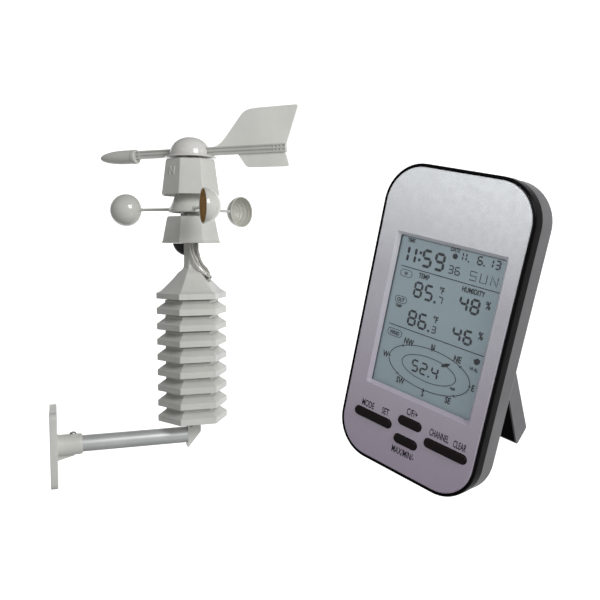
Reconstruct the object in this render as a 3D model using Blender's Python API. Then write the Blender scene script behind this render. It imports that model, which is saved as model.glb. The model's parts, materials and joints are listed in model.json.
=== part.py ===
"""Home weather station: a wall-held outdoor mast (vane, cup rotor, louvred shield) and an indoor console.

Row frame: the origin is the middle of the wall plate's back face, +X runs along the arm away from the
wall and +Z is up. The console is built in a frame of its own (x right and z up on its face, y into the
body, origin at the middle of the display) and placed by one empty.
"""

import math

import bmesh
import bpy
from mathutils import Euler, Matrix, Vector

MM = 0.001
GAP = 0.3 * MM  # clearance between pieces that touch

# Wall plate, arm and elbow
MAST_X = 151 * MM  # wall to mast axis
PLATE_HEIGHT = 80 * MM
PLATE_WIDTH = 54 * MM
PLATE_THICK = 7.2 * MM
BOSS_RADIUS = 11 * MM
BOSS_LENGTH = 25 * MM
TUBE_RADIUS = 8.75 * MM
TUBE_BORE = 7.35 * MM
POST_HALF = 7.2 * MM
POST_BOTTOM = -13.4 * MM
MITRE_TOP = 4.0 * MM
ELBOW_SCREW_X = -3.6 * MM

# Louvred shield: plates are hexagonal rings stacked at one pitch under a pagoda cap
LOUVRES = 8
PITCH = 16.84 * MM
CAP_EAVE = 152.6 * MM  # underside of the cap's rim
RIM_HEIGHT = 6.4 * MM
PLATE_RADIUS = 38.7 * MM
CORE_RADIUS = 29.6 * MM
SKIN = 2.4 * MM
FLANGE_RADIUS = 20 * MM
FLANGE_LOW = 13.6 * MM
FLANGE_HIGH = 15.2 * MM
ROD_RING = 23.0 * MM  # tie rods, on the corner lines of the hexagon
ROD_RADIUS = 1.5 * MM
NECK_TOP = 212.4 * MM

# Octagonal housings and the fixed spindle between them
HEAD_TURN = math.radians(12.8)  # direction of an octagon corner
LOWER_BASE = 212.7 * MM
LOWER_TOP = 241.3 * MM
UPPER_BASE = 264.3 * MM
UPPER_TOP = 302.2 * MM
BASE_RADIUS = 33.1 * MM
LOWER_TOP_RADIUS = 27.6 * MM
UPPER_TOP_RADIUS = 28.0 * MM
WALL = 2.2 * MM
SPINDLE_RADIUS = 5 * MM

# Leads and clamp: the front is the side that the arm and both housings are seen from
FRONT_TURN = math.radians(-100)
SLOT_TURN = math.radians(-30)
CLAMP_RADIUS = 17.0 * MM
CLAMP_CENTRE = (-12.6, -3.5, 215.5)  # towards the front, to its right, up, in millimetres

# Cup rotor
ROTOR_Z = 249.2 * MM
CUP_RING = 76 * MM  # rotor axis to cup centre
CUP_RADIUS = 17.9 * MM
CUP_WALL = 1.3 * MM
CUP_SET_BACK = 3 * MM  # the arm meets the bowl this far behind its rim
ARM_RADIUS = 1.6 * MM
FIRST_CUP = math.radians(-89.0)
HUB_BASE = 245.2 * MM

# Wind vane, along its own x axis (tail +x)
VANE_TURN = math.radians(-39)
FLANGE_Z = 304.2 * MM
DOME_RADIUS = 22.3 * MM
DOME_BASE = 306.0 * MM
DOME_SIDE = 307.0 * MM
DOME_TOP = 326.9 * MM
DOME_SKIN = 2.0 * MM
DOME_POWER = 2.1  # exponent of the dome's superellipse
BOOM_Z = 310.6 * MM
BOOM_HEIGHT = 8.8 * MM
BOOM_THICK = 5.4 * MM
BOOM_START = -70.5 * MM
BOOM_END = 112 * MM
FIN_START = 23 * MM
FIN_THICK = 2.2 * MM
NOSE_TIP = -114.8 * MM
NOSE_END = -66.9 * MM
NOSE_RADIUS = 7.7 * MM
NOSE_DROP = 1.7 * MM

# Console
CONSOLE_AT = Vector((199.1, -441.0, 167.4)) * MM  # middle of the display's surface
CONSOLE_YAW = math.radians(-62.6)
CONSOLE_LEAN = math.radians(2.0)
CONSOLE_ROLL = math.radians(12.2)
FACE_HALF_WIDTH = 45.5 * MM
FACE_SHIFT = -2.0 * MM  # middle of the outline, sideways from the middle of the display
FACE_TOP = 81.8 * MM
FACE_BOTTOM = -87.5 * MM
TOP_CORNER = 22.6 * MM
BOTTOM_CORNER = 21.7 * MM
FACE_THICK = 2.4 * MM
RIM_DEPTH = 7.5 * MM
BODY_DEPTH = 22.0 * MM
SHELL = 2.2 * MM
DISPLAY_WIDTH = 68.3 * MM
DISPLAY_HEIGHT = 88 * MM
WINDOW_STEP = 1.8 * MM  # how far the bevel round the display leans in
KEY_HALF_HEIGHT = 2.4 * MM
KEY_PROUD = 1.0 * MM
STAND_HINGE_Z = -2.0 * MM
STAND_HINGE_Y = 18.0 * MM
STAND_HALF_WIDTH = 35.3 * MM
STAND_LENGTH = 76 * MM
STAND_BACK_LENGTH = 73.5 * MM  # the foot is cut on a slant
STAND_THICK = 12.0 * MM  # at the foot; it thins towards the hinge
STAND_OPEN = math.radians(40.4)
PIN_RADIUS = 1.2 * MM
AAA_RADIUS = 5.2 * MM
AAA_LENGTH = 44.0 * MM
AA_RADIUS = 7.15 * MM
AA_LENGTH = 50.0 * MM

# Keys: centre x, centre z and half width on the face
KEYS = {
    "mode_set_key": (-24.5 * MM, -62.1 * MM, 13.0 * MM),
    "plus_key": (0.0, -56.4 * MM, 7.5 * MM),
    "minus_key": (-0.3 * MM, -67.3 * MM, 7.5 * MM),
    "channel_clear_key": (24.2 * MM, -62.1 * MM, 13.0 * MM),
}

# Battery bay on the console's back
BAY_X = 24 * MM
BAY_LOW = 13 * MM
BAY_HIGH = 37 * MM
BAY_FLOOR = 9.4 * MM
DOOR_Y = 20.8 * MM
DOOR_TRAVEL = 12 * MM

# Colours: base colour, metallic, roughness
FINISHES = {
    "pale_plastic": ((0.58, 0.58, 0.55), 0.0, 0.45),
    "cup_plastic": ((0.52, 0.54, 0.49), 0.0, 0.40),
    "satin_tube": ((0.62, 0.62, 0.62), 1.0, 0.35),
    "steel": ((0.60, 0.60, 0.60), 1.0, 0.30),
    "dark_plastic": ((0.03, 0.03, 0.035), 0.0, 0.40),
    "black_gloss": ((0.015, 0.015, 0.02), 0.0, 0.20),
    "silver_face": ((0.56, 0.57, 0.60), 0.6, 0.35),
    "grey_plastic": ((0.17, 0.17, 0.18), 0.0, 0.45),
    "display": ((0.22, 0.29, 0.31), 0.0, 0.35),
    "clear_window": ((0.80, 0.85, 0.86), 0.0, 0.05),
    "circuit_board": ((0.03, 0.16, 0.07), 0.0, 0.50),
    "rubber": ((0.05, 0.05, 0.05), 0.0, 0.70),
    "cable_jacket": ((0.40, 0.39, 0.37), 0.0, 0.50),
    "battery_wrap": ((0.10, 0.12, 0.30), 0.2, 0.35),
    "magnet": ((0.20, 0.20, 0.21), 0.8, 0.40),
}


def clear_scene():
    for obj in list(bpy.data.objects):
        bpy.data.objects.remove(obj, do_unlink=True)


def make_materials():
    for name, (colour, metallic, roughness) in FINISHES.items():
        material = bpy.data.materials.new(name)
        material.use_nodes = True
        shader = material.node_tree.nodes["Principled BSDF"]
        shader.inputs["Base Color"].default_value = (*colour, 1)
        shader.inputs["Metallic"].default_value = metallic
        shader.inputs["Roughness"].default_value = roughness


def empty(name, location=(0, 0, 0), rotation=None, parent=None):
    """A guide that carries pieces: its place is a joint's axis or an assembly's frame."""
    guide = bpy.data.objects.new(name, None)
    guide.location = location
    if rotation is not None:
        guide.rotation_euler = rotation
    guide.parent = parent
    bpy.context.collection.objects.link(guide)
    return guide


def make(name, bm, finish, parent=None):
    """Turns a bmesh into a named piece with its finish, shaded smooth up to 35 degrees."""
    bmesh.ops.recalc_face_normals(bm, faces=bm.faces)
    mesh = bpy.data.meshes.new(name)
    bm.to_mesh(mesh)
    bm.free()
    mesh.shade_smooth()
    mesh.set_sharp_from_angle(angle=math.radians(35))
    mesh.materials.append(bpy.data.materials[finish])
    obj = bpy.data.objects.new(name, mesh)
    obj.parent = parent
    bpy.context.collection.objects.link(obj)
    return obj


def combine(obj, bm, operation="DIFFERENCE"):
    """Cuts a shape from a piece, or joins one to it. The helper stays out of the build."""
    bmesh.ops.recalc_face_normals(bm, faces=bm.faces)
    mesh = bpy.data.meshes.new(f"{obj.name}_tool")
    bm.to_mesh(mesh)
    bm.free()
    tool = bpy.data.objects.new(mesh.name, mesh)
    tool.parent = obj.parent
    tool.hide_render = True
    tool.display_type = "WIRE"
    bpy.context.collection.objects.link(tool)
    modifier = obj.modifiers.new(operation.title(), "BOOLEAN")
    modifier.operation = operation
    modifier.object = tool


def loft(rings, closed=False):
    """Skins equal rings of points. Closed joins the last ring to the first, else the two ends are capped."""
    bm = bmesh.new()
    loops = [[bm.verts.new(point) for point in ring] for ring in rings]
    count = len(loops[0])
    pairs = list(zip(loops, loops[1:]))
    if closed:
        pairs.append((loops[-1], loops[0]))
    for low, high in pairs:
        for i in range(count):
            j = (i + 1) % count
            bm.faces.new((low[i], low[j], high[j], high[i]))
    if not closed:
        bm.faces.new(reversed(loops[0]))
        bm.faces.new(loops[-1])
    return bm


def ring(radius, z, sides, turn=0.0):
    step = 2 * math.pi / sides
    return [
        Vector((radius * math.cos(turn + i * step), radius * math.sin(turn + i * step), z))
        for i in range(sides)
    ]


def turned(profile, sides, turn=0.0, closed=True):
    """A polygonal or round turning of (radius, z) points. Closed profiles leave a hole in the middle."""
    return loft([ring(radius, z, sides, turn) for radius, z in profile], closed)


def box(low, high):
    """A rectangular block between two opposite corners."""
    (x0, y0, z0), (x1, y1, z1) = low, high
    corners = lambda z: [Vector(p) for p in ((x0, y0, z), (x1, y0, z), (x1, y1, z), (x0, y1, z))]
    return loft([corners(z0), corners(z1)])


def placed(bm, matrix):
    bmesh.ops.transform(bm, matrix=matrix, verts=bm.verts)
    return bm


def rod(radius, start, end, sides=12, bore=0.0):
    """A straight rod or tube from start to end, its polygon no wider than the radius."""
    start, end = Vector(start), Vector(end)
    along = end - start
    length = along.length
    if bore:
        bm = turned([(radius, 0), (radius, length), (bore, length), (bore, 0)], sides)
    else:
        bm = turned([(radius, 0), (radius, length)], sides, closed=False)
    turn = along.to_track_quat("Z", "Y").to_matrix().to_4x4()
    return placed(bm, Matrix.Translation(start) @ turn)


def pill(half_width, half_height, y, steps=5):
    """A rounded bar's outline in the face plane: straight sides and half-round ends."""
    points = []
    for centre, first in ((half_width - half_height, -90), (half_height - half_width, 90)):
        for i in range(steps + 1):
            angle = math.radians(first + 180 * i / steps)
            points.append(
                Vector((centre + half_height * math.cos(angle), y, half_height * math.sin(angle)))
            )
    return points


def face_outline(inset, y, steps=7):
    """The console's outline at depth y, moved inwards by inset: round corners, larger at the top."""
    points = []
    corners = ((1, FACE_BOTTOM, BOTTOM_CORNER, -90), (1, FACE_TOP, TOP_CORNER, 0))
    corners += ((-1, FACE_TOP, TOP_CORNER, 90), (-1, FACE_BOTTOM, BOTTOM_CORNER, 180))
    for side, edge, radius, first in corners:
        centre_x = FACE_SHIFT + side * (FACE_HALF_WIDTH - radius)
        centre_z = edge - math.copysign(radius, edge)
        for i in range(steps + 1):
            angle = math.radians(first + 90 * i / steps)
            reach = radius - inset
            points.append(
                Vector((centre_x + reach * math.cos(angle), y, centre_z + reach * math.sin(angle)))
            )
    return points


def smooth_tube(name, route, radius, finish, parent=None, spacing=2.5):
    """A cable: a tube along a smooth curve through the route's points."""
    control = [route[0], *route, route[-1]]
    points = []
    for before, start, end, after in zip(control, control[1:], control[2:], control[3:]):
        steps = max(2, round((end - start).length / (spacing * 2 * radius)))
        for i in range(steps):
            t = i / steps
            points.append(
                0.5
                * (
                    2 * start
                    + (end - before) * t
                    + (2 * before - 5 * start + 4 * end - after) * t * t
                    + (3 * start - before - 3 * end + after) * t * t * t
                )
            )
    points.append(route[-1])
    curve = bpy.data.curves.new(name, "CURVE")
    curve.dimensions = "3D"
    curve.bevel_depth = radius
    curve.bevel_resolution = 2
    curve.use_fill_caps = True
    spline = curve.splines.new("POLY")
    spline.points.add(len(points) - 1)
    for slot, point in zip(spline.points, points):
        slot.co = (*point, 1)
    curve.materials.append(bpy.data.materials[finish])
    obj = bpy.data.objects.new(name, curve)
    obj.parent = parent
    bpy.context.collection.objects.link(obj)
    return obj


def rod_places():
    """The three tie rods, on every second corner line of the hexagon."""
    angles = [math.radians(120 * i) for i in range(3)]
    return [Vector((ROD_RING * math.cos(a), ROD_RING * math.sin(a), 0)) for a in angles]


def build_wall_arm():
    """Wall plate with its boss, the arm tube and the screw that holds it."""
    half_y, half_z = PLATE_WIDTH / 2, PLATE_HEIGHT / 2
    corner = 8 * MM

    def plate_ring(x, inset):
        points = []
        for cy, cz, first in ((1, 1, 0), (-1, 1, 90), (-1, -1, 180), (1, -1, 270)):
            for i in range(4):
                angle = math.radians(first + 30 * i)
                reach = corner - inset
                y = cy * (half_y - corner) + reach * math.cos(angle)
                points.append(Vector((x, y, cz * (half_z - corner) + reach * math.sin(angle))))
        return points

    plate = make(
        "wall_plate",
        loft([plate_ring(0, 0), plate_ring(PLATE_THICK - MM, 0), plate_ring(PLATE_THICK, MM)]),
        "pale_plastic",
    )
    boss_end = PLATE_THICK + BOSS_LENGTH
    combine(plate, rod(BOSS_RADIUS, (PLATE_THICK - 2 * MM, 0, 0), (boss_end, 0, 0), 20), "UNION")
    socket = TUBE_RADIUS + GAP
    combine(plate, rod(socket, (PLATE_THICK, 0, 0), (boss_end + MM, 0, 0), 20))
    screw_x = PLATE_THICK + 0.63 * BOSS_LENGTH
    combine(plate, rod(1.9 * MM, (screw_x, 0, 5 * MM), (screw_x, 0, 20 * MM), 10))
    for y in (-18 * MM, 18 * MM):
        for z in (-29 * MM, 29 * MM):
            combine(plate, rod(2.3 * MM, (-MM, y, z), (12 * MM, y, z), 10))
    tube = make(
        "arm_tube",
        rod(TUBE_RADIUS, (PLATE_THICK + GAP, 0, 0), (MAST_X - POST_HALF - GAP, 0, 0), 24, TUBE_BORE),
        "satin_tube",
    )
    combine(tube, rod(1.9 * MM, (screw_x, 0, 0), (screw_x, 0, 20 * MM), 10))
    head = [(1.5, 6.2), (1.5, 11.3), (3.4, 11.3), (2.6, 13.0)]
    screw = turned([(r * MM, z * MM) for r, z in head], 12, closed=False)
    make("boss_screw", placed(screw, Matrix.Translation((screw_x, 0, 0))), "steel")


def build_elbow(mast):
    """The mitred elbow: a floor under the shield, a post, and a spigot inside the tube."""
    floor_low = CAP_EAVE - LOUVRES * PITCH + 0.6 * MM
    floor_high = floor_low + 2.4 * MM
    half = POST_HALF
    side = [(-half, -half), (half, -half), (half, half), (-half, half)]
    low = [Vector((x, y, POST_BOTTOM if x < 0 else MITRE_TOP)) for x, y in side]
    high = [Vector((x, y, floor_low + MM)) for x, y in side]
    elbow = make("elbow_post", loft([low, high]), "pale_plastic", mast)
    floor = turned([(31.5 * MM, floor_low), (31.5 * MM, floor_high)], 6, closed=False)
    combine(elbow, floor, "UNION")
    spigot = rod(TUBE_BORE - GAP, (-POST_HALF - 18 * MM, 0, 0), (MM - POST_HALF, 0, 0), 16)
    combine(elbow, spigot, "UNION")
    first_flange = CAP_EAVE - LOUVRES * PITCH + FLANGE_LOW - GAP
    for place in rod_places():
        top = place + Vector((0, 0, first_flange))
        combine(elbow, rod(3.2 * MM, place + Vector((0, 0, floor_low + MM)), top, 8), "UNION")
    for place in rod_places():
        through = place + Vector((0, 0, first_flange + MM))
        combine(elbow, rod(ROD_RADIUS + GAP, place + Vector((0, 0, floor_low - MM)), through, 8))
    hole = (ELBOW_SCREW_X, -POST_HALF - MM, 12 * MM)
    combine(elbow, rod(1.9 * MM, hole, (ELBOW_SCREW_X, -1 * MM, 12 * MM), 10))
    head = [(1.5, 0.0), (1.5, 5.9), (3.0, 5.9), (2.4, 7.3)]
    screw = turned([(r * MM, z * MM) for r, z in head], 12, closed=False)
    turn = Euler((math.pi / 2, 0, 0)).to_matrix().to_4x4()
    place = Matrix.Translation((ELBOW_SCREW_X, -1.6 * MM, 12 * MM)) @ turn
    make("elbow_screw", placed(screw, place), "steel", mast)


def build_louvre(number, mast):
    """One shield plate: rim, sloped skirt, inner flange and three spacers bored for the tie rods."""
    base = CAP_EAVE - number * PITCH
    inner = PLATE_RADIUS - SKIN
    core_inner = CORE_RADIUS - SKIN
    profile = [
        (PLATE_RADIUS, 0),
        (PLATE_RADIUS, RIM_HEIGHT),
        (CORE_RADIUS, FLANGE_LOW - MM),
        (CORE_RADIUS, FLANGE_HIGH),
        (FLANGE_RADIUS, FLANGE_HIGH),
        (FLANGE_RADIUS, FLANGE_LOW),
        (core_inner, FLANGE_LOW),
        (core_inner, FLANGE_LOW - 2.2 * MM),
        (inner, RIM_HEIGHT - 1.4 * MM),
        (inner, 0),
    ]
    rings = [(radius, base + z) for radius, z in profile]
    louvre = make(f"louvre_{number}", turned(rings, 6), "pale_plastic", mast)
    spacer_top = base + PITCH + FLANGE_LOW - GAP if number > 1 else CAP_EAVE + 7.4 * MM
    for place in rod_places():
        low = place + Vector((0, 0, base + FLANGE_LOW + 0.5 * MM))
        high = place + Vector((0, 0, spacer_top))
        combine(louvre, rod(3.2 * MM, low, high, 8), "UNION")
    for place in rod_places():
        low = place + Vector((0, 0, base + FLANGE_LOW - MM))
        high = place + Vector((0, 0, spacer_top + MM))
        combine(louvre, rod(ROD_RADIUS + GAP, low, high, 8))


def build_cap(mast):
    """The pagoda cap: a hexagonal shell that sweeps up to a slim hollow neck."""
    outer = [(38.9, 0), (38.9, 6.3), (34.4, 8.2), (28.8, 13.0), (20.4, 21.4), (15.2, 27.4), (11.2, 30.6)]
    outer += [(8.9, 33.4), (8.3, 38.0)]
    inner = [(6.1, 36.0), (6.7, 33.4), (9.0, 29.2), (12.8, 25.6), (18.4, 20.2), (26.8, 11.6), (32.2, 6.6)]
    inner += [(36.6, 4.6), (36.6, 0)]
    top = [(8.3, 59.4), (10.4, 60.4), (10.4, 62.4), (6.1, 62.4)]
    profile = [(r * MM, CAP_EAVE + z * MM) for r, z in outer + top + inner]
    cap = make("shield_cap", turned(profile, 6), "pale_plastic", mast)
    for place in rod_places():
        low = place + Vector((0, 0, CAP_EAVE + 7.7 * MM))
        high = place + Vector((0, 0, CAP_EAVE + 19.0 * MM))
        combine(cap, rod(3.2 * MM, low, high, 8), "UNION")
    for place in rod_places():
        low = place + Vector((0, 0, CAP_EAVE + 6.0 * MM))
        high = place + Vector((0, 0, CAP_EAVE + 15.0 * MM))
        combine(cap, rod(ROD_RADIUS + GAP, low, high, 8))
    # The slot in the flare that takes the leads
    slot = box((9.5 * MM, -4.6 * MM, CAP_EAVE + 17.8 * MM), (27 * MM, 6.2 * MM, CAP_EAVE + 27.6 * MM))
    combine(cap, placed(slot, Matrix.Rotation(SLOT_TURN, 4, "Z")))


def build_shield(mast):
    for number in range(1, LOUVRES + 1):
        build_louvre(number, mast)
    build_cap(mast)
    floor_low = CAP_EAVE - LOUVRES * PITCH + 0.6 * MM
    for number, place in enumerate(rod_places(), 1):
        profile = [(3.1 * MM, floor_low - 2.0 * MM), (3.1 * MM, floor_low - GAP)]
        profile += [(ROD_RADIUS, floor_low - GAP), (ROD_RADIUS, CAP_EAVE + 14.5 * MM)]
        bolt = turned(profile, 10, closed=False)
        make(f"tie_rod_{number}", placed(bolt, Matrix.Translation(place)), "steel", mast)


def build_shield_inside(mast):
    """Radio sensor board with its sled of two AA cells, hung in the middle of the shield."""
    low, high = 58 * MM, 116 * MM
    back = box((-15 * MM, 4.2 * MM, low), (15 * MM, 5.6 * MM, high))
    sled = make("battery_sled", back, "dark_plastic", mast)
    for z in (low, high - 1.6 * MM):
        combine(sled, box((-14 * MM, -8 * MM, z), (14 * MM, 4.6 * MM, z + 1.6 * MM)), "UNION")
    for number, x in enumerate((-7.5 * MM, 7.5 * MM), 1):
        start = low + 3.6 * MM
        tip = start + AA_LENGTH
        profile = [(AA_RADIUS, start), (AA_RADIUS, tip - 1.4 * MM)]
        profile += [(2.6 * MM, tip - 1.4 * MM), (2.6 * MM, tip)]
        cell = turned(profile, 14, closed=False)
        cell = placed(cell, Matrix.Translation((x, -3.6 * MM, 0)))
        make(f"mast_battery_{number}", cell, "battery_wrap", mast)
    board = box((-13 * MM, 7 * MM, 44 * MM), (13 * MM, 8.6 * MM, 128 * MM))
    make("sensor_board", board, "circuit_board", mast)


def build_lower_housing(mast):
    """The lower octagonal housing, with the wind board and the half-round clamp under it."""
    inner = BASE_RADIUS - WALL
    profile = [
        (BASE_RADIUS + 0.5 * MM, LOWER_BASE),
        (BASE_RADIUS + 0.5 * MM, LOWER_BASE + 1.8 * MM),
        (BASE_RADIUS - 0.3 * MM, LOWER_BASE + 2.2 * MM),
        (LOWER_TOP_RADIUS, LOWER_TOP - 1.5 * MM),
        (LOWER_TOP_RADIUS - 1.5 * MM, LOWER_TOP),
        (12.0 * MM, LOWER_TOP),
        (12.0 * MM, HUB_BASE - 0.7 * MM),
        (5.8 * MM, HUB_BASE - 0.7 * MM),
        (5.8 * MM, LOWER_TOP - WALL),
        (LOWER_TOP_RADIUS - WALL - 0.8 * MM, LOWER_TOP - WALL),
        (inner, LOWER_BASE + 2.2 * MM),
        (inner, LOWER_BASE),
    ]
    make("lower_housing", turned(profile, 8, HEAD_TURN), "pale_plastic", mast)
    board = turned([(20 * MM, 0), (20 * MM, 1.6 * MM), (5.6 * MM, 1.6 * MM), (5.6 * MM, 0)], 16)
    make("wind_board", placed(board, Matrix.Translation((0, 0, 233 * MM))), "circuit_board", mast)
    switch = rod(1.2 * MM, (15 * MM, -7 * MM, 236.2 * MM), (15 * MM, 7 * MM, 236.2 * MM), 8)
    make("reed_switch", switch, "steel", mast)
    spindle_low = CAP_EAVE + 42 * MM
    spindle = rod(SPINDLE_RADIUS, (0, 0, spindle_low), (0, 0, UPPER_BASE + 13 * MM), 16, 3.4 * MM)
    make("centre_spindle", spindle, "steel", mast)
    disc = turned([(CLAMP_RADIUS, 0), (CLAMP_RADIUS, 2.6 * MM)], 28, closed=False)
    place = Matrix.Rotation(FRONT_TURN, 4, "Z") @ Matrix.Translation(Vector(CLAMP_CENTRE) * MM)
    upright = Euler((0, -math.pi / 2, 0)).to_matrix().to_4x4()
    clamp = make("clamp_disc", placed(disc, place @ upright), "dark_plastic", mast)
    combine(clamp, box((-30 * MM, -30 * MM, LOWER_BASE - GAP), (30 * MM, 30 * MM, LOWER_BASE + 30 * MM)))
    beyond = box((-30 * MM, 4 * MM, 180 * MM), (30 * MM, 40 * MM, 240 * MM))
    combine(clamp, placed(beyond, Matrix.Rotation(FRONT_TURN, 4, "Z")))


def build_upper_housing(mast):
    """The upper octagonal housing, open below, with a bulkhead on the spindle."""
    inner = BASE_RADIUS - WALL
    bulkhead = UPPER_BASE + 9 * MM
    taper = (BASE_RADIUS - UPPER_TOP_RADIUS) / (UPPER_TOP - UPPER_BASE)
    at = lambda z: inner - taper * (z - UPPER_BASE)
    profile = [
        (BASE_RADIUS, UPPER_BASE),
        (UPPER_TOP_RADIUS, UPPER_TOP - 1.6 * MM),
        (UPPER_TOP_RADIUS - 1.6 * MM, UPPER_TOP),
        (6.2 * MM, UPPER_TOP),
        (6.2 * MM, UPPER_TOP - 2.6 * MM),
        (at(UPPER_TOP) - MM, UPPER_TOP - 2.6 * MM),
        (at(bulkhead), bulkhead + 2.4 * MM),
        (5.8 * MM, bulkhead + 2.4 * MM),
        (5.8 * MM, bulkhead),
        (at(bulkhead), bulkhead),
        (inner, UPPER_BASE),
    ]
    make("upper_housing", turned(profile, 8, HEAD_TURN), "pale_plastic", mast)
    board = turned([(21 * MM, 0), (21 * MM, 1.6 * MM), (4.2 * MM, 1.6 * MM), (4.2 * MM, 0)], 16)
    make("vane_board", placed(board, Matrix.Translation((0, 0, 288 * MM))), "circuit_board", mast)
    bush = [(5.3, 0), (5.3, 3.4), (2.8, 3.4), (2.8, 0)]
    bearing = turned([(r * MM, z * MM) for r, z in bush], 16)
    make("vane_bearing", placed(bearing, Matrix.Translation((0, 0, UPPER_TOP - 2.6 * MM))), "steel", mast)


def build_rotor(rotor):
    """Hub, bearings, magnet and three cups on arms, about the fixed spindle."""
    sleeve, bore, seat = 10.6 * MM, 5.7 * MM, 8.2 * MM
    profile = [
        (23.9 * MM, HUB_BASE + 0.4 * MM),
        (23.9 * MM, HUB_BASE + 2.8 * MM),
        (22.6 * MM, HUB_BASE + 5.6 * MM),
        (17.2 * MM, HUB_BASE + 17.8 * MM),
        (14.5 * MM, HUB_BASE + 21.5 * MM),
        (seat, HUB_BASE + 22.4 * MM),
        (seat, HUB_BASE + 17.0 * MM),
        (bore, HUB_BASE + 17.0 * MM),
        (bore, HUB_BASE + 5.0 * MM),
        (seat, HUB_BASE + 5.0 * MM),
        (seat, HUB_BASE),
        (sleeve, HUB_BASE),
        (sleeve, HUB_BASE + 16.4 * MM),
        (15.2 * MM, HUB_BASE + 16.4 * MM),
        (21.4 * MM, HUB_BASE + 2.4 * MM),
        (21.4 * MM, HUB_BASE + 0.4 * MM),
    ]
    make("cup_hub", turned(profile, 28), "cup_plastic", rotor)
    for name, z in (("lower", HUB_BASE + 0.6 * MM), ("upper", HUB_BASE + 17.4 * MM)):
        outer, inner = seat - GAP, SPINDLE_RADIUS + GAP
        bearing = turned([(outer, 0), (outer, 4 * MM), (inner, 4 * MM), (inner, 0)], 16)
        make(f"rotor_bearing_{name}", placed(bearing, Matrix.Translation((0, 0, z))), "steel", rotor)
    low, high = (13.5 * MM, -2.5 * MM, HUB_BASE + 0.8 * MM), (17.5 * MM, 2.5 * MM, HUB_BASE + 3.6 * MM)
    make("rotor_magnet", box(low, high), "magnet", rotor)
    for number in range(3):
        build_cup(number + 1, FIRST_CUP + number * math.radians(120), rotor)


def build_cup(number, angle, rotor):
    """A half-sphere bowl whose opening looks along -y, and its arm back to the hub along -x."""
    steps = 7
    arc = [math.radians(90 * i / steps) for i in range(steps + 1)]
    bowl = [(CUP_RADIUS * math.cos(a), CUP_RADIUS * math.sin(a)) for a in arc[:-1]]
    inside = CUP_RADIUS - CUP_WALL
    hollow = [(inside * math.cos(a), inside * math.sin(a)) for a in reversed(arc[:-1])]
    bm = bmesh.new()
    sides = 20
    rings = [[bm.verts.new(p) for p in ring(r, z, sides)] for r, z in bowl]
    poles = [bm.verts.new((0, 0, CUP_RADIUS)), bm.verts.new((0, 0, inside))]
    rings += [[bm.verts.new(p) for p in ring(r, z, sides)] for r, z in hollow]
    for i in range(sides):
        j = (i + 1) % sides
        for low, high in zip(rings[:steps], rings[1:steps]):
            bm.faces.new((low[i], low[j], high[j], high[i]))
        for low, high in zip(rings[steps:], rings[steps + 1 :]):
            bm.faces.new((low[i], low[j], high[j], high[i]))
        bm.faces.new((rings[steps - 1][i], rings[steps - 1][j], poles[0]))
        bm.faces.new((rings[steps][j], rings[steps][i], poles[1]))
        bm.faces.new((rings[-1][i], rings[-1][j], rings[0][j], rings[0][i]))
    to_side = Euler((-math.pi / 2, 0, 0)).to_matrix().to_4x4()
    placed(bm, Matrix.Translation((CUP_RING, -CUP_SET_BACK, 0)) @ to_side)
    turn = Matrix.Translation((0, 0, ROTOR_Z)) @ Matrix.Rotation(angle, 4, "Z")
    cup = make(f"cup_{number}", placed(bm, turn), "cup_plastic", rotor)
    arm = rod(ARM_RADIUS, (24.6 * MM, 0, 0), (CUP_RING - CUP_RADIUS + 0.9 * MM, 0, 0), 10)
    combine(cup, placed(arm, turn), "UNION")


def build_dome(vane):
    """The vane's dome: a flange and a flat-topped superellipse shell, slotted for the boom."""
    reach = DOME_TOP - DOME_SIDE
    steps = 8

    def arc(radius, height):
        points = []
        for i in range(steps):
            angle = math.radians(90 * i / steps)
            r = radius * math.cos(angle) ** (2 / DOME_POWER)
            z = height * math.sin(angle) ** (2 / DOME_POWER)
            points.append((r, DOME_SIDE + z))
        return points

    outer = [(27.9 * MM, FLANGE_Z), (28.2 * MM, FLANGE_Z + 0.9 * MM)]
    outer += [(27.4 * MM, DOME_BASE), (DOME_RADIUS, DOME_BASE)]
    outer += arc(DOME_RADIUS, reach)
    inner = arc(DOME_RADIUS - DOME_SKIN, reach - DOME_SKIN)
    profile = outer + [(0.6 * MM, DOME_TOP)]
    under = [(0.6 * MM, DOME_TOP - DOME_SKIN)] + inner[::-1] + [(DOME_RADIUS - DOME_SKIN, FLANGE_Z)]
    bm = turned(profile + under, 28)
    dome = make("vane_dome", bm, "pale_plastic", vane)
    # A pin closes the middle of the dome, so its top is whole
    combine(dome, rod(1.4 * MM, (0, 0, DOME_TOP - DOME_SKIN), (0, 0, DOME_TOP), 12), "UNION")
    half_thick = BOOM_THICK / 2 + GAP
    low = (-40 * MM, -half_thick, DOME_BASE + 0.2 * MM - GAP)
    high = (40 * MM, half_thick, BOOM_Z + BOOM_HEIGHT / 2 + GAP)
    combine(dome, box(low, high))
    shaft = rod(2.4 * MM, (0, 0, UPPER_BASE + 21 * MM), (0, 0, BOOM_Z - BOOM_HEIGHT / 2 - GAP), 12)
    make("vane_shaft", shaft, "steel", vane)


def build_vane(vane):
    build_dome(vane)
    half_height, half_thick = BOOM_HEIGHT / 2, BOOM_THICK / 2
    low, high = (BOOM_START, -half_thick, BOOM_Z - half_height), (BOOM_END, half_thick, BOOM_Z + half_height)
    boom = make("vane_boom", box(low, high), "pale_plastic", vane)
    slit = FIN_THICK / 2 + GAP
    combine(boom, box((FIN_START - GAP, -slit, BOOM_Z - 9 * MM), (BOOM_END + MM, slit, BOOM_Z + 9 * MM)))
    make("tail_fin", fin_plate(), "pale_plastic", vane)
    build_nose(vane)


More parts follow.
